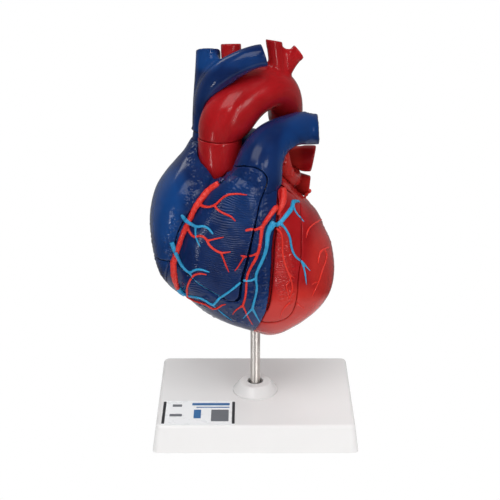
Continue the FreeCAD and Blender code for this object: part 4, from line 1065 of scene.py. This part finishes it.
def rounded_plate(name, low, high, radius, bottom, top, paint):
    """Thin plate with round corners, level, from one corner to the other."""
    work = bmesh.new()
    outline = []
    for cx, cy, turn in (
        (high[0] - radius, high[1] - radius, 0.0), (low[0] + radius, high[1] - radius, 0.5),
        (low[0] + radius, low[1] + radius, 1.0), (high[0] - radius, low[1] + radius, 1.5),
    ):
        for i in range(CORNER_STEPS + 1):
            angle = math.pi * (turn + 0.5 * i / CORNER_STEPS)
            outline.append((cx + radius * math.cos(angle), cy + radius * math.sin(angle)))
    face = work.faces.new([work.verts.new((x, y, bottom)) for x, y in outline])
    lifted = bmesh.ops.extrude_face_region(work, geom=[face])["geom"]
    for vertex in lifted:
        if isinstance(vertex, bmesh.types.BMVert):
            vertex.co.z = top
    bmesh.ops.recalc_face_normals(work, faces=work.faces)
    mesh = finished(work, name)
    mesh.materials.append(paint)
    made = new_object(name, mesh)
    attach(made, LABEL_BODY)
    return made


LABEL_CORNERS = ((161.0, 425.0), (235.5, 401.0))
LABEL_HEIGHT = 0.00025
PRINT_HEIGHT = 0.00004
LABEL_ROUNDING, MARK_ROUNDING = 0.002, 0.0006
# Plain marks on the label, as shares of its width and depth: name, low, high, paint.
LABEL_MARKS = [
    ("label_end_left", (0.0, 0.04), (0.04, 0.96), "label_ink"),
    ("label_end_right", (0.955, 0.04), (0.995, 0.96), "label_ink"),
    ("label_bar", (0.40, 0.80), (0.92, 0.90), "label_blue_ink"),
    ("label_thin_bar", (0.46, 0.70), (0.92, 0.74), "label_blue_ink"),
    ("label_block", (0.67, 0.14), (0.91, 0.62), "label_grey_ink"),
    ("label_tile", (0.43, 0.26), (0.53, 0.62), "label_blue_ink"),
    ("label_line", (0.10, 0.34), (0.27, 0.44), "label_grey_ink"),
    ("label_mark", (0.13, 0.74), (0.26, 0.84), "label_grey_ink"),
]


def label():
    low = on_base(LABEL_CORNERS[0])
    high = on_base(LABEL_CORNERS[1])
    top = BASE_TOP + LABEL_HEIGHT
    rounded_plate(
        "label_plate", low, high, LABEL_ROUNDING, BASE_TOP, top, MATERIALS["label_white"],
    )
    for name, start, end, ink in LABEL_MARKS:
        first = [a + (b - a) * share for a, b, share in zip(low, high, start)]
        second = [a + (b - a) * share for a, b, share in zip(low, high, end)]
        rounded_plate(
            name, first, second, MARK_ROUNDING, top, top + PRINT_HEIGHT, MATERIALS[ink],
        )


label()

# ------------ studio

scene = bpy.context.scene
scene.view_settings.view_transform = "Standard"


def math_node(net, operation, first, second):
    made = net.nodes.new("ShaderNodeMath")
    made.operation = operation
    for socket, value in zip(made.inputs, (first, second)):
        if isinstance(value, float):
            socket.default_value = value
        else:
            net.links.new(value, socket)
    return made.outputs[0]


# Light of the surroundings on the object, and how bright glossy paint sees them: in
# front of the object, behind it, and on the floor close to it.
WORLD_LIGHT = 0.30
FRONT_GLOSS, BACK_GLOSS, NEAR_GLOSS = 0.03, 0.22, 0.70
NEAR_REACH = 0.16
# Where the surroundings and the floor change from the front's tone to the back's.
WORLD_SPAN = (-0.1, 0.6)
FLOOR_SPAN = (0.0, 0.4)
FLOOR_HALF = 3.0
FLOOR_GREY, FLOOR_ROUGH = 0.9, 0.9


def gloss_shade(net, source, span):
    """Brightness that glossy rays see, from the front of the studio to its back."""
    return spread_node(net, source, FRONT_GLOSS, BACK_GLOSS, *span)


def world():
    """Soft pale surroundings that read as white where they are seen."""
    made = bpy.data.worlds.new("studio")
    scene.world = made
    made.use_nodes = True
    net = made.node_tree
    background = net.nodes["Background"]
    background.inputs["Color"].default_value = (1.0, 1.0, 1.0, 1.0)
    path = net.nodes.new("ShaderNodeLightPath")
    place = net.nodes.new("ShaderNodeTexCoord")
    split = net.nodes.new("ShaderNodeSeparateXYZ")
    net.links.new(place.outputs["Generated"], split.inputs["Vector"])
    glossy = gloss_shade(net, split.outputs["Y"], WORLD_SPAN)
    strength = net.nodes.new("ShaderNodeMix")
    net.links.new(path.outputs["Is Glossy Ray"], strength.inputs["Factor"])
    strength.inputs["A"].default_value = WORLD_LIGHT
    net.links.new(glossy, strength.inputs["B"])
    from_camera = path.outputs["Is Camera Ray"]
    shown = math_node(net, "MAXIMUM", strength.outputs["Result"], from_camera)
    net.links.new(shown, background.inputs["Strength"])


def floor():
    """Pale floor that reads as white but keeps the object's soft shadow."""
    mesh = bpy.data.meshes.new("floor")
    ways = ((-1, -1), (1, -1), (1, 1), (-1, 1))
    corners = [(x * FLOOR_HALF, y * FLOOR_HALF, 0) for x, y in ways]
    mesh.from_pydata(corners, [], [(0, 1, 2, 3)])
    made = new_object("floor", mesh)
    paint, net = material("floor")
    shader = net.nodes["Principled BSDF"]
    shader.inputs["Base Color"].default_value = (FLOOR_GREY, FLOOR_GREY, FLOOR_GREY, 1.0)
    shader.inputs["Roughness"].default_value = FLOOR_ROUGH
    path = net.nodes.new("ShaderNodeLightPath")
    place = net.nodes.new("ShaderNodeTexCoord")
    split = net.nodes.new("ShaderNodeSeparateXYZ")
    net.links.new(place.outputs["Object"], split.inputs["Vector"])
    reach = net.nodes.new("ShaderNodeVectorMath")
    reach.operation = "LENGTH"
    net.links.new(place.outputs["Object"], reach.inputs[0])
    distance = reach.outputs["Value"]
    near = spread_node(net, distance, NEAR_GLOSS, 0.0, NEAR_REACH, 1.5 * NEAR_REACH)
    far = gloss_shade(net, split.outputs["Y"], FLOOR_SPAN)
    from_camera, from_gloss = path.outputs["Is Camera Ray"], path.outputs["Is Glossy Ray"]
    passing = math_node(net, "MAXIMUM", from_gloss, path.outputs["Is Transmission Ray"])
    glossy = math_node(net, "MULTIPLY", math_node(net, "MAXIMUM", near, far), passing)
    glow = net.nodes.new("ShaderNodeEmission")
    strength = math_node(net, "MAXIMUM", glossy, from_camera)
    net.links.new(strength, glow.inputs["Strength"])
    seen = math_node(net, "MAXIMUM", from_camera, from_gloss)
    mix = net.nodes.new("ShaderNodeMixShader")
    net.links.new(seen, mix.inputs["Fac"])
    net.links.new(shader.outputs["BSDF"], mix.inputs[1])
    net.links.new(glow.outputs["Emission"], mix.inputs[2])
    net.links.new(mix.outputs["Shader"], net.nodes["Material Output"].inputs["Surface"])
    mesh.materials.append(paint)


HEART_MIDDLE = (0.0, 0.0, 0.2)
ROD_MIDDLE = (0.0, 0.0, 0.06)


def lamp(name, place, width, height, power, kind="both", aim=HEART_MIDDLE, only=None):
    """Rectangular lamp aimed at a point, hidden from the camera.

    A lamp can act on both paint and gloss, only on the paint or only on the gloss, and on
    everything or only on one object.
    """
    data = bpy.data.lights.new(name, "AREA")
    data.shape = "RECTANGLE"
    data.size, data.size_y = width, height
    data.energy = power
    made = bpy.data.objects.new(name, data)
    scene.collection.objects.link(made)
    made.location = place
    made.rotation_euler = (Vector(aim) - Vector(place)).to_track_quat("-Z", "Y").to_euler()
    made.visible_camera = False
    made.visible_glossy = kind != "paint"
    made.visible_diffuse = kind != "gloss"
    if only:
        lit = bpy.data.collections.new(name)
        lit.objects.link(only)
        made.light_linking.receiver_collection = lit


world()
floor()
lamp("softbox_top", (-0.42, -0.66, 1.12), 0.80, 0.60, 3.2)
lamp("key", (-0.45, -0.80, 1.15), 0.6, 0.6, 1.2, "paint")
lamp("overhead", (0.15, -0.45, 1.30), 1.0, 0.8, 7.0, "paint")
lamp("rear", (0.25, 0.95, 1.15), 0.8, 0.6, 5.0, "paint")
lamp("fill_left", (-0.75, -1.15, 0.45), 0.7, 0.7, 2.0, "paint")
lamp("fill_right", (0.70, -1.10, 0.50), 0.7, 0.7, 3.8, "paint")
lamp("rim_left", (-0.75, 0.65, 1.0), 0.3, 0.5, 1.2)
lamp("strip_right", (0.21, -0.74, 0.27), 0.020, 0.50, 0.7, "gloss")
for side, place in (("left", (-0.383, -0.321, 0.14)), ("right", (0.25, -0.433, 0.14))):
    lamp("rod_panel_" + side, place, 0.30, 0.28, 0.7, "gloss", ROD_MIDDLE, nodes["stand_rod"])
lamp("strip_low", (-0.17, -0.13, 0.145), 0.006, 0.05, 0.02, "gloss")
lamp("glint_front", (-0.22, -0.98, 0.74), 0.14, 0.12, 0.35, "gloss")
lamp("glint_right", (0.60, -0.90, 0.55), 0.30, 0.30, 0.9, "gloss")
